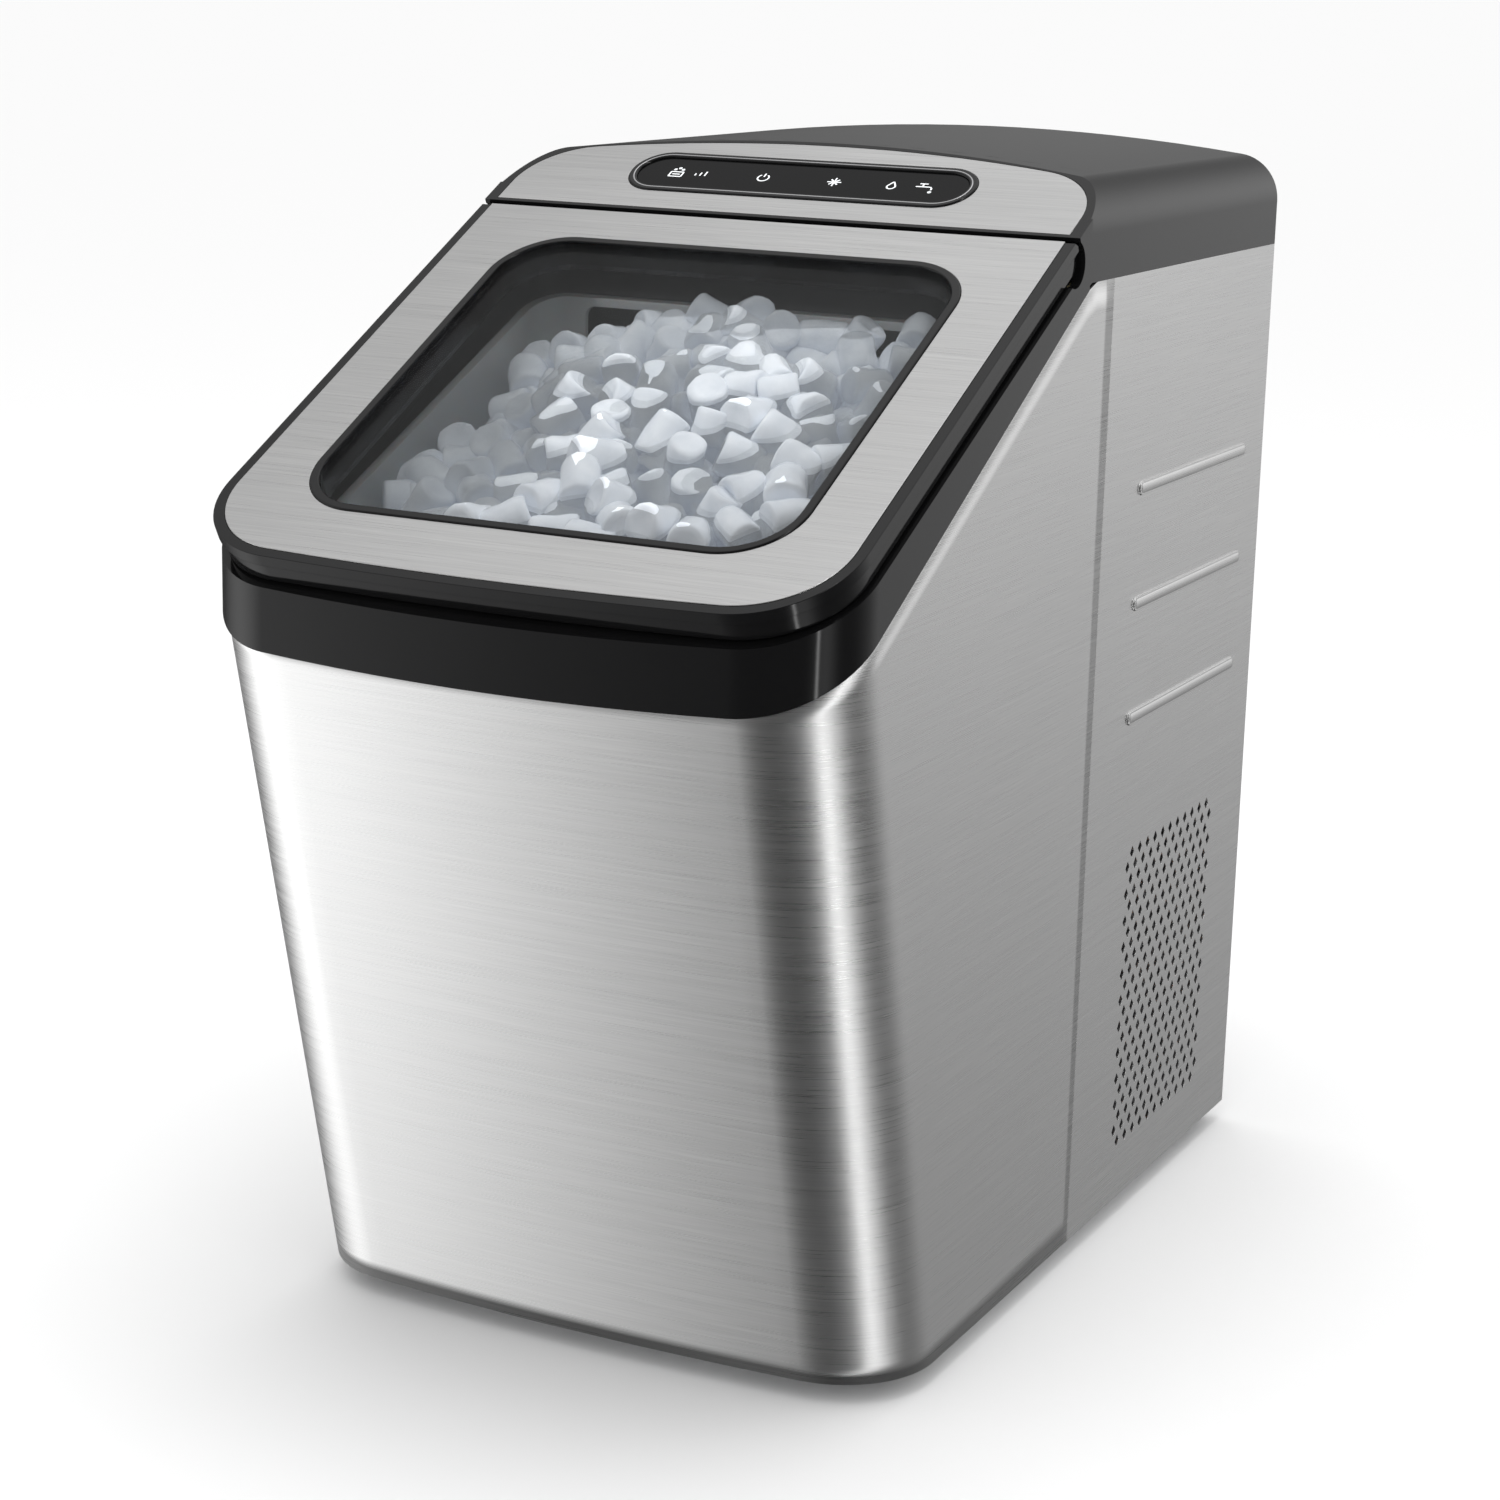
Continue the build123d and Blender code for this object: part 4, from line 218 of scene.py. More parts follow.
def refined(node, finish, bevel=0.0004, crease=28.0):
    """A CAD piece with its flats rejoined, its edges softened and its curves smooth."""
    source = frame["nodes"][node]
    piece = bpy.data.objects.new(node + "_finished", source.data.copy())
    bpy.context.scene.collection.objects.link(piece)
    work = bmesh.new()
    work.from_mesh(piece.data)
    bmesh.ops.remove_doubles(work, verts=work.verts, dist=2e-6)
    bmesh.ops.dissolve_limit(
        work, angle_limit=FLAT_ENOUGH, verts=work.verts, edges=work.edges, use_dissolve_boundaries=False
    )
    for edge in work.edges:
        edge.smooth = edge.calc_face_angle(0.0) < math.radians(crease)
    for face in work.faces:
        face.smooth = True
    work.to_mesh(piece.data)
    work.free()
    piece.data.materials.clear()
    piece.data.materials.append(finish)
    if bevel:
        rounding = piece.modifiers.new("rounded_edges", "BEVEL")
        rounding.width, rounding.segments = bevel, 2
        rounding.limit_method, rounding.angle_limit = "ANGLE", math.radians(crease)
        rounding.use_clamp_overlap = True
    even = piece.modifiers.new("even_normals", "WEIGHTED_NORMAL")
    even.keep_sharp, even.weight = True, 90
    settled(piece)
    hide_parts(node)
    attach(piece, source["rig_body"])
    return piece


back_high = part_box("back_panel")[1]
wrap_low, wrap_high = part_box("front_wrap")
foot = wrap_low.z
back = back_high.y
half = wrap_high.x
SHEET = 0.0008
SEAM, RIM_START, SIDE_TOP, RIM_TILT = 0.1802, 0.2001, 0.3654, math.radians(29.84)
BASE_DEPTH, FRONT_LEAN, FRONT_BOW, CORNER = 0.345, math.tan(math.radians(14.11)), 0.0067, 0.0365


def bowed_front(side, bow, corner, bow_steps=28, corner_steps=18):
    """Points of a bowed front with round corners, right to left, as (across, ahead of the middle)."""
    radius = (side * side + bow * bow) / (2 * bow)
    spread = math.asin((side - corner) / (radius - corner))
    centre = math.sqrt((radius - corner) ** 2 - (side - corner) ** 2) - radius
    points = []
    for i in range(corner_steps + 1):
        turn = math.pi / 2 - (math.pi / 2 - spread) * i / corner_steps
        points.append((side - corner + corner * math.sin(turn), centre + corner * math.cos(turn)))
    for i in range(1, bow_steps):
        turn = spread - 2 * spread * i / bow_steps
        points.append((radius * math.sin(turn), radius * math.cos(turn) - radius))
    return points + [(-x, ahead) for x, ahead in reversed(points[:corner_steps + 1])]


def rim_height(distance):
    return SIDE_TOP - max(distance - RIM_START, 0.0) * math.tan(RIM_TILT)


ROWS, SIDE_COLUMNS, RIM_TRIES = 36, 26, 12
front = bowed_front(half, FRONT_BOW, CORNER)


def wrap_column(x, ahead, share):
    """One upright line of the wrap, from its bottom edge to its top edge."""
    line = []
    if ahead is None:
        corner_top = front[0][1]
        low_d = SEAM + (BASE_DEPTH + corner_top - SEAM) * share
        lean = FRONT_LEAN * share
    else:
        low_d, lean = BASE_DEPTH + ahead, FRONT_LEAN
    top = rim_height(low_d)
    for _ in range(RIM_TRIES):
        top = rim_height(low_d + lean * top)
    for row in range(ROWS + 1):
        height = top * row / ROWS
        line.append(Vector((x, back - low_d - lean * height, foot + height)))
    return line


right = [wrap_column(half, None, i / SIDE_COLUMNS) for i in range(SIDE_COLUMNS)]
middle = [wrap_column(x, ahead, 1.0) for x, ahead in front]
left = [wrap_column(-half, None, i / SIDE_COLUMNS) for i in reversed(range(SIDE_COLUMNS))]
grid = right + middle + left
points = [p for line in grid for p in line]
faces = []
for c in range(len(grid) - 1):
    for r in range(ROWS):
        a = c * (ROWS + 1) + r
        faces.append((a, a + 1, a + ROWS + 2, a + ROWS + 1))
wrap = shape_from("front_wrap_sheet", points, faces)
for polygon in wrap.data.polygons:
    polygon.use_smooth = True
wrap.data.materials.append(casing_steel)
wrap.data.materials.append(cut_edge)
thick = wrap.modifiers.new("sheet", "SOLIDIFY")
thick.thickness, thick.offset = SHEET, -1.0
thick.material_offset_rim = 1
settled(wrap)
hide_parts("front_wrap")
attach(wrap, "cabinet")

for side_node in ("right_side_panel", "left_side_panel"):
    panel = refined(side_node, casing_steel, bevel=0.00025)

# ---------------------------------------------------------------- pressed beads
# Three long beads are pressed outwards in each side panel to stiffen the sheet.
BEAD_HEIGHTS = (0.1969, 0.2410, 0.2848)
BEAD_NEAR, BEAD_FAR, BEAD_TALL, BEAD_RISE = 0.023, 0.144, 0.0056, 0.0011
BEAD_STEPS, BEAD_SIDES = 160, 20


def wired(tree, kind, settings, **sockets):
    """Adds a node, sets its settings, then fills its sockets with values or links."""
    node = tree.nodes.new(kind)
    for key, value in settings.items():
        setattr(node, key, value)
    for key, value in sockets.items():
        socket = node.inputs[int(key[1:])] if key[1:].isdigit() else node.inputs[key.replace("_", " ")]
        if isinstance(value, bpy.types.NodeSocket):
            tree.links.new(value, socket)
        else:
            socket.default_value = value
    return node


def bead_tree():
    """Turns centre lines into round-ended beads that stand a little way out of a flat panel."""
    tree = bpy.data.node_groups.new("pressed_beads", "GeometryNodeTree")
    for label, kind in (("Lines", "Geometry"), ("Tall", "Float"), ("Rise", "Float"), ("Face", "Float")):
        tree.interface.new_socket(label, in_out="INPUT", socket_type="NodeSocket" + kind)
    tree.interface.new_socket("Geometry", in_out="OUTPUT", socket_type="NodeSocketGeometry")
    entry = tree.nodes.new("NodeGroupInput").outputs

    def maths(operation, *values):
        named = {f"_{i}": value for i, value in enumerate(values)}
        return wired(tree, "ShaderNodeMath", {"operation": operation}, **named).outputs[0]

    line = wired(tree, "GeometryNodeMeshToCurve", {}, Mesh=entry["Lines"]).outputs[0]
    line = wired(tree, "GeometryNodeResampleCurve", {}, Curve=line, Count=BEAD_STEPS).outputs[0]
    along = wired(tree, "GeometryNodeSplineParameter", {}).outputs["Length"]
    whole = wired(tree, "GeometryNodeSplineLength", {}).outputs["Length"]
    half_tall = maths("MULTIPLY", entry["Tall"], 0.5)
    to_end = maths("MINIMUM", along, maths("SUBTRACT", whole, along))
    short = maths("MAXIMUM", maths("SUBTRACT", half_tall, to_end), 0.0)
    reach = maths("SUBTRACT", maths("MULTIPLY", half_tall, half_tall), maths("MULTIPLY", short, short))
    size = maths("DIVIDE", maths("SQRT", maths("MAXIMUM", reach, 0.00000001)), half_tall)
    round_rim = wired(
        tree, "GeometryNodeCurvePrimitiveCircle", {"mode": "RADIUS"}, Resolution=BEAD_SIDES, Radius=half_tall
    )
    sweep = wired(
        tree, "GeometryNodeCurveToMesh", {}, Curve=line, Profile_Curve=round_rim.outputs[0],
        Scale=size, Fill_Caps=True,
    ).outputs[0]
    here = wired(tree, "GeometryNodeInputPosition", {}).outputs[0]
    x, y, z = wired(tree, "ShaderNodeSeparateXYZ", {}, _0=here).outputs
    proud = maths("SUBTRACT", x, entry["Face"])
    flat = maths("DIVIDE", entry["Rise"], half_tall)
    pressed = maths("ADD", entry["Face"], maths("MULTIPLY", proud, flat))
    moved = wired(tree, "ShaderNodeCombineXYZ", {}, _0=pressed, _1=y, _2=z).outputs[0]
    shape = wired(tree, "GeometryNodeSetPosition", {}, Geometry=sweep, Position=moved).outputs[0]
    shape = wired(tree, "GeometryNodeSetShadeSmooth", {}, Geometry=shape).outputs[0]
    shape = wired(tree, "GeometryNodeRealizeInstances", {}, Geometry=shape).outputs[0]
    painted = wired(tree, "GeometryNodeSetMaterial", {}, Geometry=shape, Material=casing_steel).outputs[0]
    tree.links.new(painted, tree.nodes.new("NodeGroupOutput").inputs[0])
    return tree


beads = bead_tree()
bead_inputs = {item.name: item.identifier for item in beads.interface.items_tree if item.in_out == "INPUT"}
for side_name, face_x in (("right", half), ("left", -half)):
    ends = [(face_x, back - d, foot + h) for h in BEAD_HEIGHTS for d in (BEAD_NEAR, BEAD_FAR)]
    made_lines = bpy.data.meshes.new(f"{side_name}_beads")
    made_lines.from_pydata(ends, [(2 * i, 2 * i + 1) for i in range(len(BEAD_HEIGHTS))], [])
    bead = bpy.data.objects.new(f"{side_name}_beads", made_lines)
    bpy.context.scene.collection.objects.link(bead)
    pressing = bead.modifiers.new("beads", "NODES")
    pressing.node_group = beads
    for label, amount in (("Tall", BEAD_TALL), ("Rise", BEAD_RISE), ("Face", face_x)):
        pressing[bead_inputs[label]] = amount
    settled(bead)
    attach(bead, "cabinet")

# ---------------------------------------------------------------- plated back and base
# Galvanised sheet, spangled, with pressed slots. It carries the machine and closes the back.


def galvanised(name, tone):
    made, finish = material(name)
    place = finish.stretched((1, 1, 1))
    spangle = finish.node("ShaderNodeTexVoronoi", {}, Vector=place, Scale=140.0, output=1)
    grey = finish.node("ShaderNodeRGBToBW", {}, spangle)
    dark, light = (tone * 0.85, tone * 0.87, tone * 0.9, 1), (tone * 1.1, tone * 1.11, tone * 1.12, 1)
    shade = finish.mix(grey, dark, light)
    surface(finish, finish.node(
        "ShaderNodeBsdfPrincipled", {}, Base_Color=shade, Metallic=0.9, Roughness=grey * 0.15 + 0.38,
    ))
    return made


zinc = galvanised("zinc_plate", 0.55)
for plain_node in ("back_panel", "base_pan", "bulkhead"):
    plate = refined(plain_node, zinc, bevel=0.0002)

# ---------------------------------------------------------------- gloss black mouldings
# The crown, the collar and the lid's frame are injection moulded and polished, with a faint
# waviness. They butt against each other with hairline joints.


def black_plastic(name, colour, roughness, ripple=0.03, shine=0.3):
    made, finish = material(name)
    place = finish.stretched((1, 1, 1))
    peel = finish.noise(place, 260.0, 2.0)
    smear = finish.noise(place, 14.0, 4.0, 0.6)
    bump = finish.node("ShaderNodeBump", {}, Strength=ripple, Distance=0.0002, Height=peel)
    tone = finish.mix(smear, (*colour, 1), (*[c * 1.7 for c in colour], 1))
    surface(finish, finish.node(
        "ShaderNodeBsdfPrincipled", {}, Base_Color=tone,
        Roughness=smear * 0.07 + (roughness - 0.03), IOR=1.5, Specular_IOR_Level=shine, Normal=bump,
    ))
    return made


gloss_black = black_plastic("gloss_black", (0.004, 0.004, 0.0042), 0.08)
satin_black = black_plastic("satin_black", (0.006, 0.006, 0.0065), 0.3, 0.08, 0.14)
gloss_mouldings = (("top_cap", "cap_black"), ("collar", "trim_black"), ("lid_frame", "trim_black"))
for black_node, black_slot in gloss_mouldings:
    moulding = refined(black_node, gloss_black, bevel=0.0006, crease=24.0)

# ---------------------------------------------------------------- lid and strip plates
# Brushed sheet let into the black mouldings, with the brush running across the machine.
hinge = next(joint for joint in frame["joints"] if joint["name"] == "lid_hinge")
LID_TILT = math.radians(27.4)
down_lid = Vector((0, -math.cos(LID_TILT), -math.sin(LID_TILT)))
off_lid = Vector((0, -math.sin(LID_TILT), math.cos(LID_TILT)))
seam = Vector(hinge["pos_m"]) - down_lid * 0.0055 + off_lid * 0.007


def on_lid(x, along, proud=0.0):
    """A place on the lid's plane: across, down from the seam, and out from the plate's face."""
    return seam + Vector((x, 0, 0)) + down_lid * along + off_lid * proud


lid_steel = brushed_steel(
    "lid_steel", (0.74, 0.74, 0.735, 1), (0.58, 0.58, 0.58, 1), 0.3, (math.pi / 2 - LID_TILT, 0, 0), 1.1
)
for plate_node in ("lid_plate", "control_strip"):
    plate = refined(plate_node, lid_steel, bevel=0.0002)

# ---------------------------------------------------------------- touch panel
# A black lacquered overlay in a bright ring. Two of its symbols lie over keys, the others are lamps.


def plated(name, colour, roughness):
    made, finish = material(name)
    haze = finish.noise(finish.stretched((1, 1, 1)), 90.0)
    surface(finish, finish.node(
        "ShaderNodeBsdfPrincipled", {}, Base_Color=(*colour, 1), Metallic=1.0,
        Roughness=haze * 0.08 + (roughness - 0.04),
    ))
    return made


ring_silver = plated("ring_silver", (0.62, 0.62, 0.63), 0.2)
refined("touch_ring", gloss_black, bevel=0.0005)
touch_black = black_plastic("touch_black", (0.003, 0.003, 0.0032), 0.1, 0.01, 0.1)
overlay = refined("touch_overlay", touch_black, bevel=0.0002)
overlay_top = max((v.co - seam).dot(off_lid) for v in overlay.data.vertices)
lamp_white, lamp_finish = material("lamp_white")
glow_grain = lamp_finish.noise(lamp_finish.stretched((1, 1, 1)), 800.0)
surface(lamp_finish, lamp_finish.node(
    "ShaderNodeBsdfPrincipled", {}, Base_Color=(0.85, 0.87, 0.88, 1), Roughness=glow_grain * 0.1 + 0.35,
    Emission_Color=(0.8, 0.85, 0.9, 1), Emission_Strength=0.25,
))
TOUCH_ALONG, TOUCH_HALF, TOUCH_R = -0.0278, 70.0, 13.5
STROKE, STROKE_RISE, MM = 0.0006, 0.00006, 0.001


def stroke(points, faces, line):
    """Adds a flat line through places on the overlay, given as (across, up) in millimetres."""
    for (x0, u0), (x1, u1) in zip(line, line[1:]):
        length = math.hypot(x1 - x0, u1 - u0)
        reach = STROKE / MM / 2 / length
        ox, ou = -(u1 - u0) * reach, (x1 - x0) * reach
        corners = ((x0 + ox, u0 + ou), (x0 - ox, u0 - ou), (x1 - ox, u1 - ou), (x1 + ox, u1 + ou))
        start = len(points)
        points += [on_lid(x * MM, TOUCH_ALONG - u * MM, overlay_top + STROKE_RISE) for x, u in corners]
        faces.append((start, start + 1, start + 2, start + 3))


def arc(x, u, radius, start, end, steps):
    """Places round an arc, from one angle to another in degrees."""
    turns = [math.radians(start + (end - start) * i / steps) for i in range(steps + 1)]
    return [(x + radius * math.cos(t), u + radius * math.sin(t)) for t in turns]


symbols = {
    "ice_symbol": [
        [(-53.6, 0.6), (-53.6, -2.6), (-48.4, -2.6), (-48.4, 0.6), (-53.6, 0.6)],
        arc(-52.6, 2.2, 0.45, 0, 360, 8), arc(-51.0, 3.2, 0.45, 0, 360, 8),
        arc(-49.4, 2.2, 0.45, 0, 360, 8), [(-52.6, -1.0), (-49.4, -1.0)],
    ],
    "ice_level_symbol": [[(-43, -1.2), (-43, 0.2)], [(-41, -1.2), (-41, 1.0)], [(-39, -1.2), (-39, 1.8)]],
    "power_symbol": [arc(-15, 0, 2.2, 125, 415, 24), [(-15, 0.6), (-15, 2.9)]],
    "clean_symbol": [
        [(14, 2.8), (14, -2.8)], [(11.2, 0), (16.8, 0)],
        [(12.3, 1.7), (15.7, -1.7)], [(12.3, -1.7), (15.7, 1.7)],
    ],
    "drop_symbol": [[(37, 2.6)] + arc(37, -0.7, 1.6, 30, -210, 18) + [(37, 2.6)]],
    "tap_symbol": [
        [(46.4, 0.4), (51.6, 0.4)] + arc(51.6, -1.0, 1.4, 90, 0, 8) + [(53.0, -1.6)],
        [(49.0, 0.4), (49.0, 2.4)], [(47.4, 2.4), (50.6, 2.4)], arc(53.0, -3.0, 0.5, 0, 360, 8),
    ],
}
for symbol, lines in symbols.items():
    points, faces = [], []
    for line in lines:
        stroke(points, faces, line)
    sign = shape_from(symbol, points, faces)
    sign.data.materials.append(lamp_white)
    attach(sign, "cabinet")


TRIM_INSET, TRIM_SINK, PILL_STEPS = 2.0, 0.00003, 24
TRIM_SECTION = ((-0.3, 0.0), (-0.15, 0.00012), (0.15, 0.00012), (0.3, 0.0))
bend = TOUCH_HALF - TOUCH_R
radius = TOUCH_R - TRIM_INSET
outline = arc(bend, 0, radius, -90, 90, PILL_STEPS) + arc(-bend, 0, radius, 90, 270, PILL_STEPS)
ring_top = max((v.co - seam).dot(off_lid) for v in frame["nodes"]["touch_ring"].data.vertices)
points, faces = [], []
for outwards, rise in TRIM_SECTION:
    for x, u in outline:
        away_x = x - max(min(x, bend), -bend)
        grow = outwards / math.hypot(away_x, u)
        place = ((x + away_x * grow) * MM, TOUCH_ALONG - (u + u * grow) * MM)
        points.append(on_lid(*place, ring_top + rise - TRIM_SINK))
count = len(outline)
for row in range(len(TRIM_SECTION) - 1):
    for i in range(count):
        j = (i + 1) % count
        faces.append((row * count + i, (row + 1) * count + i, (row + 1) * count + j, row * count + j))
trim = shape_from("touch_ring_trim", points, faces)
for polygon in trim.data.polygons:
    polygon.use_smooth = True
trim.data.materials.append(ring_silver)
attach(trim, "cabinet")
for key in ("power_key", "clean_key"):
    refined(key, satin_black, bevel=0.0002)

# ---------------------------------------------------------------- window
# A black bezel holds the outer pane; the inner pane clips in from below and keeps the cold in.


def clear_pane(name, tint, shine):
    made, finish = material(name)
    edge = finish.node("ShaderNodeFresnel", {}, 1.45)
    streak = finish.noise(finish.stretched((1, 1, 1)), 9.0, 3.0)
    glass = finish.node(
        "ShaderNodeBsdfPrincipled", {}, Base_Color=(0.02, 0.02, 0.02, 1),
        Roughness=streak * 0.04 + 0.01, IOR=1.45,
    )
    through = finish.node("ShaderNodeBsdfTransparent", {}, (*tint, 1))
    surface(finish, finish.node("ShaderNodeMixShader", {}, edge * shine + 0.01, through, glass))
    return made


outer_glass = clear_pane("clear_pane", (0.98, 0.985, 0.985), 0.35)
for pane_node in ("outer_pane", "inner_pane"):
    refined(pane_node, outer_glass, bevel=0.0003)
refined("window_bezel", gloss_black, bevel=0.0004)
rubber_made, rubber_finish = material("rubber")
rubber_grain = rubber_finish.noise(rubber_finish.stretched((1, 1, 1)), 700.0)
surface(rubber_finish, rubber_finish.node(
    "ShaderNodeBsdfPrincipled", {}, Base_Color=(0.02, 0.02, 0.021, 1), Roughness=rubber_grain * 0.2 + 0.55,
    Normal=rubber_finish.node("ShaderNodeBump", {}, Strength=0.2, Distance=0.0001, Height=rubber_grain),
))
for rubber_node, rubber_slot in (
    ("lid_gasket", "gasket_grey"), ("feet", "rubber_black"), ("drain_plug", "rubber_black"),
    ("compressor_grommets", "rubber_black"),
):
    refined(rubber_node, rubber_made, bevel=0.0003)

# ---------------------------------------------------------------- bin and basket
# A dark moulded liner, and a pale translucent basket that lifts out with the ice.


def moulded(name, colour, roughness, vary=0.12, through=0.0):
    made, finish = material(name)
    place = finish.stretched((1, 1, 1))
    cloud = finish.noise(place, 22.0, 4.0, 0.6)
    pits = finish.noise(place, 900.0, 2.0)
    pale = tuple(min(c * (1 + vary), 1.0) for c in colour)
    surface(finish, finish.node(
        "ShaderNodeBsdfPrincipled", {}, Base_Color=finish.mix(cloud, (*colour, 1), (*pale, 1)),
        Roughness=pits * 0.12 + (roughness - 0.06), Subsurface_Weight=through, Subsurface_Scale=0.004,
        Normal=finish.node("ShaderNodeBump", {}, Strength=0.08, Distance=0.0001, Height=pits),
    ))
    return made


basket_grey = moulded("basket_grey", (0.42, 0.43, 0.435), 0.25, 0.1, 0.2)
liner_grey = moulded("liner_grey", (0.05, 0.052, 0.055), 0.3)
refined("ice_basket", basket_grey, bevel=0.0005)
refined("bin_liner", liner_grey, bevel=0.0005)

# ---------------------------------------------------------------- ice
# Chewable nuggets, pressed from flakes: stubby cylinders, cloudy inside and wet outside,
# heaped in the basket above its rim at the middle and falling away to the front.


# The ice's finish carries a painted glow: the nuggets emit a cloudy colour so that they read bright.
def ice_painted_glow():
    made, finish = material("ice_painted_glow")
    place = finish.stretched((1, 1, 1))
    cloud = finish.noise(place, 120.0, 4.0, 0.6)
    cracks = finish.noise(place, 420.0, 3.0, 0.7)
    colour = finish.mix(cloud, (0.62, 0.66, 0.73, 1), (0.93, 0.95, 0.98, 1))
    rough_skin = cloud * 0.7 + cracks * 0.3
    # Painted glow: inner is the colour the ice emits, painted light that brightens the nuggets though ice is
    # no lamp.
    inner = finish.mix(cloud, (0.42, 0.46, 0.54, 1), (0.95, 0.97, 1.0, 1))
    surface(finish, finish.node(
        "ShaderNodeBsdfPrincipled", {}, Base_Color=colour, Roughness=cracks * 0.18 + 0.06, IOR=1.31,
        Emission_Color=inner, Emission_Strength=0.2,
        Normal=finish.node("ShaderNodeBump", {}, Strength=0.3, Distance=0.0005, Height=rough_skin),
    ))
    return made


ice_painted_glow_finish = ice_painted_glow()
NUGGET_R, NUGGET_LONG, NUGGET_SIDES = 0.0069, 0.0150, 18


def nugget(name, stretch, hollow):
    """One nugget, with soft rims and slightly dished ends."""
    upper = [(0.0, 0.5 - hollow), (0.55, 0.5 - hollow * 0.6), (0.86, 0.5), (0.97, 0.44), (1.0, 0.3)]
    profile = upper + [(0.985, 0.0)] + [(r, -h) for r, h in reversed(upper)]
    points = [Vector((0, 0, profile[0][1] * NUGGET_LONG * stretch))]
    for r, h in profile[1:-1]:
        for i in range(NUGGET_SIDES):
            turn = 2 * math.pi * i / NUGGET_SIDES
            wave = 1 + 0.035 * math.sin(3 * turn + 9 * h) + 0.02 * math.sin(7 * turn + 4 * stretch)
            out = r * wave * NUGGET_R
            points.append(Vector((math.cos(turn) * out, math.sin(turn) * out, h * NUGGET_LONG * stretch)))
    points.append(Vector((0, 0, profile[-1][1] * NUGGET_LONG * stretch)))
    faces = [(0, 1 + i, 1 + (i + 1) % NUGGET_SIDES) for i in range(NUGGET_SIDES)]
    for ring in range(len(profile) - 3):
        a = 1 + ring * NUGGET_SIDES
        for i in range(NUGGET_SIDES):
            j = (i + 1) % NUGGET_SIDES
            faces.append((a + i, a + NUGGET_SIDES + i, a + NUGGET_SIDES + j, a + j))
    last, end = 1 + (len(profile) - 3) * NUGGET_SIDES, len(points) - 1
    faces += [(end, last + (i + 1) % NUGGET_SIDES, last + i) for i in range(NUGGET_SIDES)]
    piece = shape_from(name, points, faces)
    for polygon in piece.data.polygons:
        polygon.use_smooth = True
    return piece


basket_low, basket_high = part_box("ice_basket")
ICE_INSET, REAR_INSET, FRONT_INSET = 0.0105, 0.009, 0.013
HEAP_TOP, HEAP_MIDDLE, HEAP_ROUND, HEAP_FALL = 0.349, 0.02, 0.9, 0.068
HOLLOW_MIDDLE, HOLLOW_WIDE, HOLLOW_DEEP, LUMP = -0.075, 0.03, 0.012, 0.004


def heap_height(x, y):
    """Top of the heap, above the ground, over a place in the basket."""
    ahead = (basket_high.y - y) / (basket_high.y - basket_low.y)
    crest = HEAP_TOP + foot - HEAP_ROUND * (x - HEAP_MIDDLE) ** 2
    hollow = HOLLOW_DEEP * math.exp(-((x - HOLLOW_MIDDLE) / HOLLOW_WIDE) ** 2)
    mound = crest - HEAP_FALL * ahead ** 1.3 - hollow
    return mound - LUMP * math.sin(x * 90 + 1.1) * math.cos(y * 70)


def heap_layer(drop):
    """Surface on which one layer of nuggets lies."""
    across_steps, along_steps = 18, 16
    reach = basket_high.x - ICE_INSET
    rear, ahead = basket_high.y - REAR_INSET, basket_low.y + FRONT_INSET
    points, faces = [], []
    for i in range(across_steps + 1):
        for j in range(along_steps + 1):
            x = -reach + 2 * reach * i / across_steps
            y = rear + (ahead - rear) * j / along_steps
            points.append(Vector((x, y, heap_height(x, y) - drop)))
    for i in range(across_steps):
        for j in range(along_steps):
            a = i * (along_steps + 1) + j
            faces.append((a, a + 1, a + along_steps + 2, a + along_steps + 1))
    return shape_from("heap_layer", points, faces)


def nugget_tree(shapes):
    """Scatters nuggets on a surface, turned every way."""
    tree = bpy.data.node_groups.new("scattered_nuggets", "GeometryNodeTree")
    for label, kind in (("Surface", "Geometry"), ("Spacing", "Float"), ("Seed", "Int")):
        tree.interface.new_socket(label, in_out="INPUT", socket_type="NodeSocket" + kind)
    tree.interface.new_socket("Geometry", in_out="OUTPUT", socket_type="NodeSocketGeometry")
    entry = tree.nodes.new("NodeGroupInput").outputs
    seed = entry["Seed"]
    spread = wired(
        tree, "GeometryNodeDistributePointsOnFaces", {"distribute_method": "POISSON"},
        Mesh=entry["Surface"], Distance_Min=entry["Spacing"], Density_Max=CROWDING, Seed=seed,
    ).outputs["Points"]
    turn = wired(
        tree, "FunctionNodeRandomValue", {"data_type": "FLOAT_VECTOR"},
        _0=(0, 0, 0), _1=(ROUND, ROUND, ROUND), Seed=seed,
    ).outputs[0]
    pick = wired(
        tree, "FunctionNodeRandomValue", {"data_type": "INT"}, _4=0, _5=len(shapes) - 1, Seed=seed
    ).outputs[2]
    size = wired(
        tree, "FunctionNodeRandomValue", {"data_type": "FLOAT"}, _2=SMALLEST, _3=LARGEST, Seed=seed
    ).outputs[1]
    group = tree.nodes.new("GeometryNodeJoinGeometry")
    for shape in shapes:
        fetch = wired(tree, "GeometryNodeObjectInfo", {}, Object=shape, As_Instance=True)
        tree.links.new(fetch.outputs["Geometry"], group.inputs[0])
    heap = wired(
        tree, "GeometryNodeInstanceOnPoints", {}, Points=spread, Instance=group.outputs[0],
        Pick_Instance=True, Instance_Index=pick, Rotation=turn, Scale=size,
    ).outputs[0]
    real = wired(tree, "GeometryNodeRealizeInstances", {}, Geometry=heap).outputs[0]
    painted = wired(tree, "GeometryNodeSetMaterial", {}, Geometry=real, Material=ice_painted_glow_finish).outputs[0]
    tree.links.new(painted, tree.nodes.new("NodeGroupOutput").inputs[0])
    return tree


CROWDING, ROUND, SMALLEST, LARGEST = 9000.0, 6.28, 0.9, 1.12
shapes = [nugget("nugget_a", 1.0, 0.05), nugget("nugget_b", 0.84, 0.1), nugget("nugget_c", 1.12, 0.03)]
scatter = nugget_tree(shapes)
sockets = {item.name: item.identifier for item in scatter.interface.items_tree if item.in_out == "INPUT"}
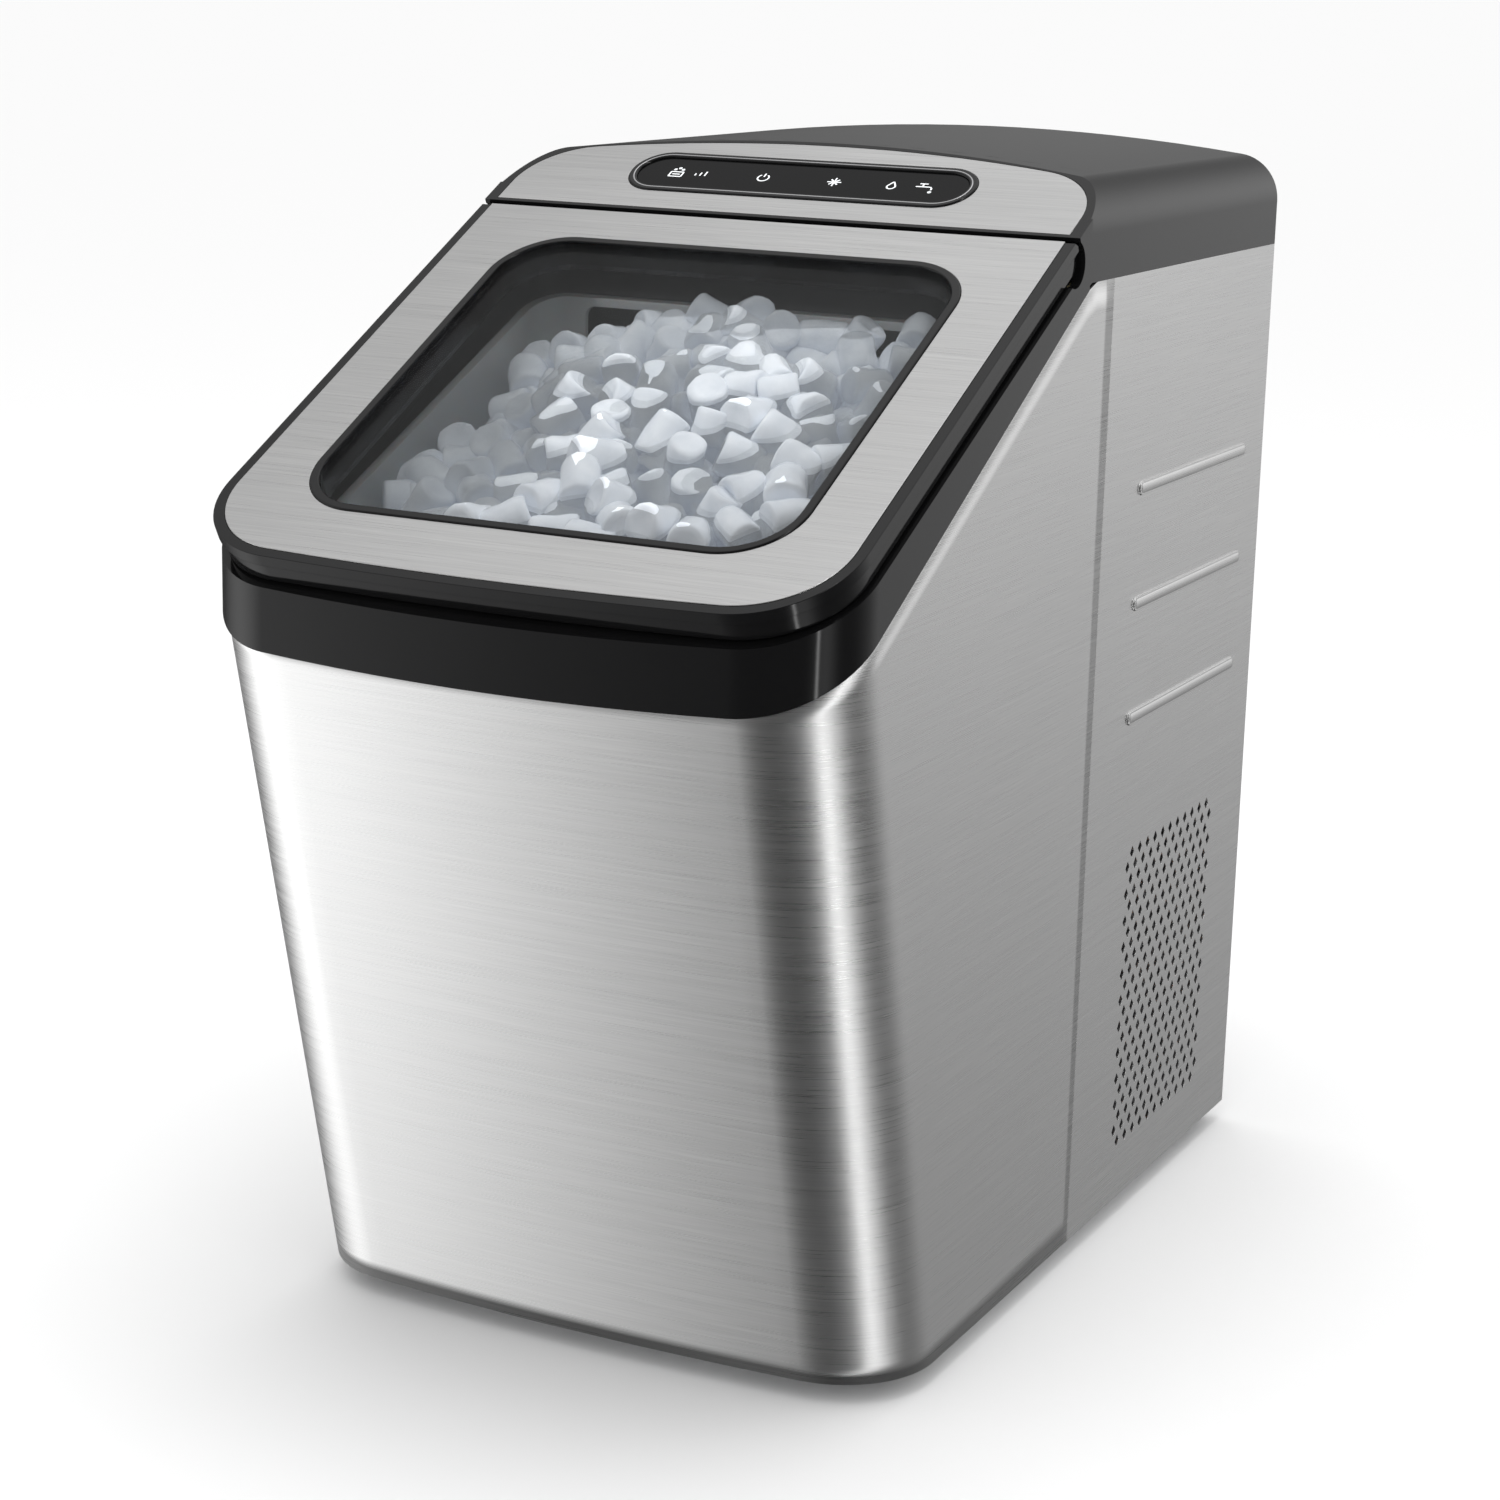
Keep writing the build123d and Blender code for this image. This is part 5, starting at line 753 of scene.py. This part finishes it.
# Each layer lies lower than the last: how far down, how far apart its nuggets are, and its seed.
LAYERS = ((0.000, 0.0118, 4), (0.007, 0.0118, 11), (0.015, 0.0120, 23), (0.024, 0.0125, 31))
for number, (drop, spacing, seed) in enumerate(LAYERS):
    layer = heap_layer(drop)
    layer.name = f"ice_layer_{number}"
    heaping = layer.modifiers.new("nuggets", "NODES")
    heaping.node_group = scatter
    heaping[sockets["Spacing"]], heaping[sockets["Seed"]] = spacing, seed
    settled(layer)
    for polygon in layer.data.polygons:
        polygon.use_smooth = True
    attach(layer, "cabinet")
for shape in shapes:
    bpy.data.objects.remove(shape)

# ---------------------------------------------------------------- machine behind the bulkhead
# Ordinary shop finishes: drawn copper, mill aluminium, machined steel, black enamel, nylon,
# green circuit board, rigid foam and silicone hose.
copper = plated("drawn_copper", (0.72, 0.33, 0.18), 0.3)
mill_fins = plated("mill_aluminium", (0.80, 0.81, 0.83), 0.35)
machined = plated("machined_steel", (0.56, 0.56, 0.57), 0.28)
enamel = black_plastic("black_enamel", (0.012, 0.012, 0.013), 0.25, 0.06, 0.3)
nylon = moulded("white_nylon", (0.72, 0.70, 0.64), 0.4)
white_plastic = moulded("white_plastic", (0.74, 0.74, 0.72), 0.35)
orange_float = moulded("orange_float", (0.70, 0.22, 0.05), 0.4)
circuit = moulded("circuit_board", (0.015, 0.11, 0.04), 0.35, 0.5)
foam = moulded("rigid_foam", (0.72, 0.62, 0.38), 0.8, 0.2)
silicone = moulded("silicone_hose", (0.50, 0.51, 0.50), 0.4, 0.1, 0.2)
shop = {
    copper: ("evaporator_coil", "condenser_tube", "discharge_line", "filter_drier", "suction_line"),
    mill_fins: ("condenser_fins", "gear_case", "gear_case_lid"),
    machined: ("freezing_barrel", "auger", "extruder_head", "motor_pinion", "hinge_pins", "case_screws"),
    zinc: ("drive_motor",),
    enamel: ("compressor",),
    nylon: ("output_gear", "idler_gear"),
    white_plastic: ("float_stem", "ice_chute", "auger_bushes", "head_hood", "pump_impeller"),
    orange_float: ("water_float",),
    circuit: ("control_board", "power_board"),
    foam: ("bin_foam", "barrel_jacket"),
    silicone: ("supply_hose", "drain_hose"),
    satin_black: (
        "fan_shroud", "fan_motor", "condenser_fan", "water_pump", "drain_spigot", "power_inlet",
    ),
}
for finish, names in shop.items():
    for node_name in names:
        data = frame["nodes"][node_name].data
        data.materials.clear()
        data.materials.append(finish)

# ---------------------------------------------------------------- studio
# A pale floor, a white room, and soft light from broad panels.
made, floor_finish = material("studio_floor")
surface(floor_finish, floor_finish.node("ShaderNodeBsdfDiffuse", {}, (0.86, 0.86, 0.86, 1)))
FLOOR = 60
floor_corners = [(-FLOOR, -FLOOR, 0), (FLOOR, -FLOOR, 0), (FLOOR, FLOOR, 0), (-FLOOR, FLOOR, 0)]
floor = shape_from("floor", floor_corners, [(0, 1, 2, 3)])
floor.data.materials.append(made)
floor.visible_glossy = False


def heading(azimuth, elevation):
    """Unit direction; azimuth is from the machine's front towards the user's right, in degrees."""
    a, e = math.radians(azimuth), math.radians(elevation)
    return (math.sin(a) * math.cos(e), -math.cos(a) * math.cos(e), math.sin(e))


room = bpy.data.worlds.new("studio_room")
bpy.context.scene.world = room
room.use_nodes = True
air = Finish(room.node_tree)
look = air.node("ShaderNodeTexCoord", output=0)


def panel(azimuth, elevation, tightness, strength):
    """A soft light panel as a lobe of brightness about one direction."""
    facing = air.node(
        "ShaderNodeVectorMath", {"operation": "DOT_PRODUCT"}, look, heading(azimuth, elevation), output=1
    )
    return air.node("ShaderNodeMath", {"operation": "MAXIMUM"}, facing, 0.0) ** tightness * strength


ground_look = air.node("ShaderNodeVectorMath", {"operation": "MULTIPLY"}, look, (1, 1, 0))
level_look = air.node("ShaderNodeVectorMath", {"operation": "NORMALIZE"}, ground_look)


def strip_light(azimuth, tightness, strength):
    """A tall narrow light, from the floor to overhead."""
    facing = air.node(
        "ShaderNodeVectorMath", {"operation": "DOT_PRODUCT"}, level_look, heading(azimuth, 0), output=1
    )
    return air.node("ShaderNodeMath", {"operation": "MAXIMUM"}, facing, 0.0) ** tightness * strength


glow = (
    panel(0, 90, 2.0, 0.15)
    + panel(-66, -24, 8.0, 1.9)
    + panel(-60, 40, 3.0, 0.5)
    + panel(150, 12, 12.0, 1.15)
    + panel(150, -26, 12.0, 0.2)
    + panel(175, 68, 6.0, 1.0)
    + panel(-160, 8, 40.0, 0.15)
    + strip_light(80, 50.0, 1.0)
    + strip_light(72, 2600.0, 6.0)
    + 0.07
)
path = air.node("ShaderNodeLightPath")
seen = Wire(air, path.socket.node.outputs["Is Camera Ray"])
glossy = Wire(air, path.socket.node.outputs["Is Glossy Ray"])
plain = air.node("ShaderNodeBackground", {}, (1, 1, 1, 1), 1.12)
white = air.node("ShaderNodeBackground", {}, (1, 1, 1, 1), 1.0)
shaped = air.node("ShaderNodeBackground", {}, (1, 1, 1, 1), glow)
inner = air.node("ShaderNodeMixShader", {}, glossy, plain, shaped)
air.node("ShaderNodeOutputWorld", {}, air.node("ShaderNodeMixShader", {}, seen, inner, white))


def lamp(name, place, target, size, watts):
    light = bpy.data.lights.new(name, "AREA")
    light.shape, light.size, light.energy = "SQUARE", size, watts
    holder = bpy.data.objects.new(name, light)
    bpy.context.scene.collection.objects.link(holder)
    holder.location = place
    holder.rotation_euler = (Vector(target) - Vector(place)).to_track_quat("-Z", "Y").to_euler()
    holder.visible_glossy = False
    return holder


lamp("ceiling", (0.1, -0.1, 1.9), (0, -0.05, 0.3), 0.9, 10.0)
bin_light = lamp("bin_light", (0.0, -0.075, 0.352), (0, -0.06, 0.2), 0.13, 0.035)
bin_light.visible_camera = False
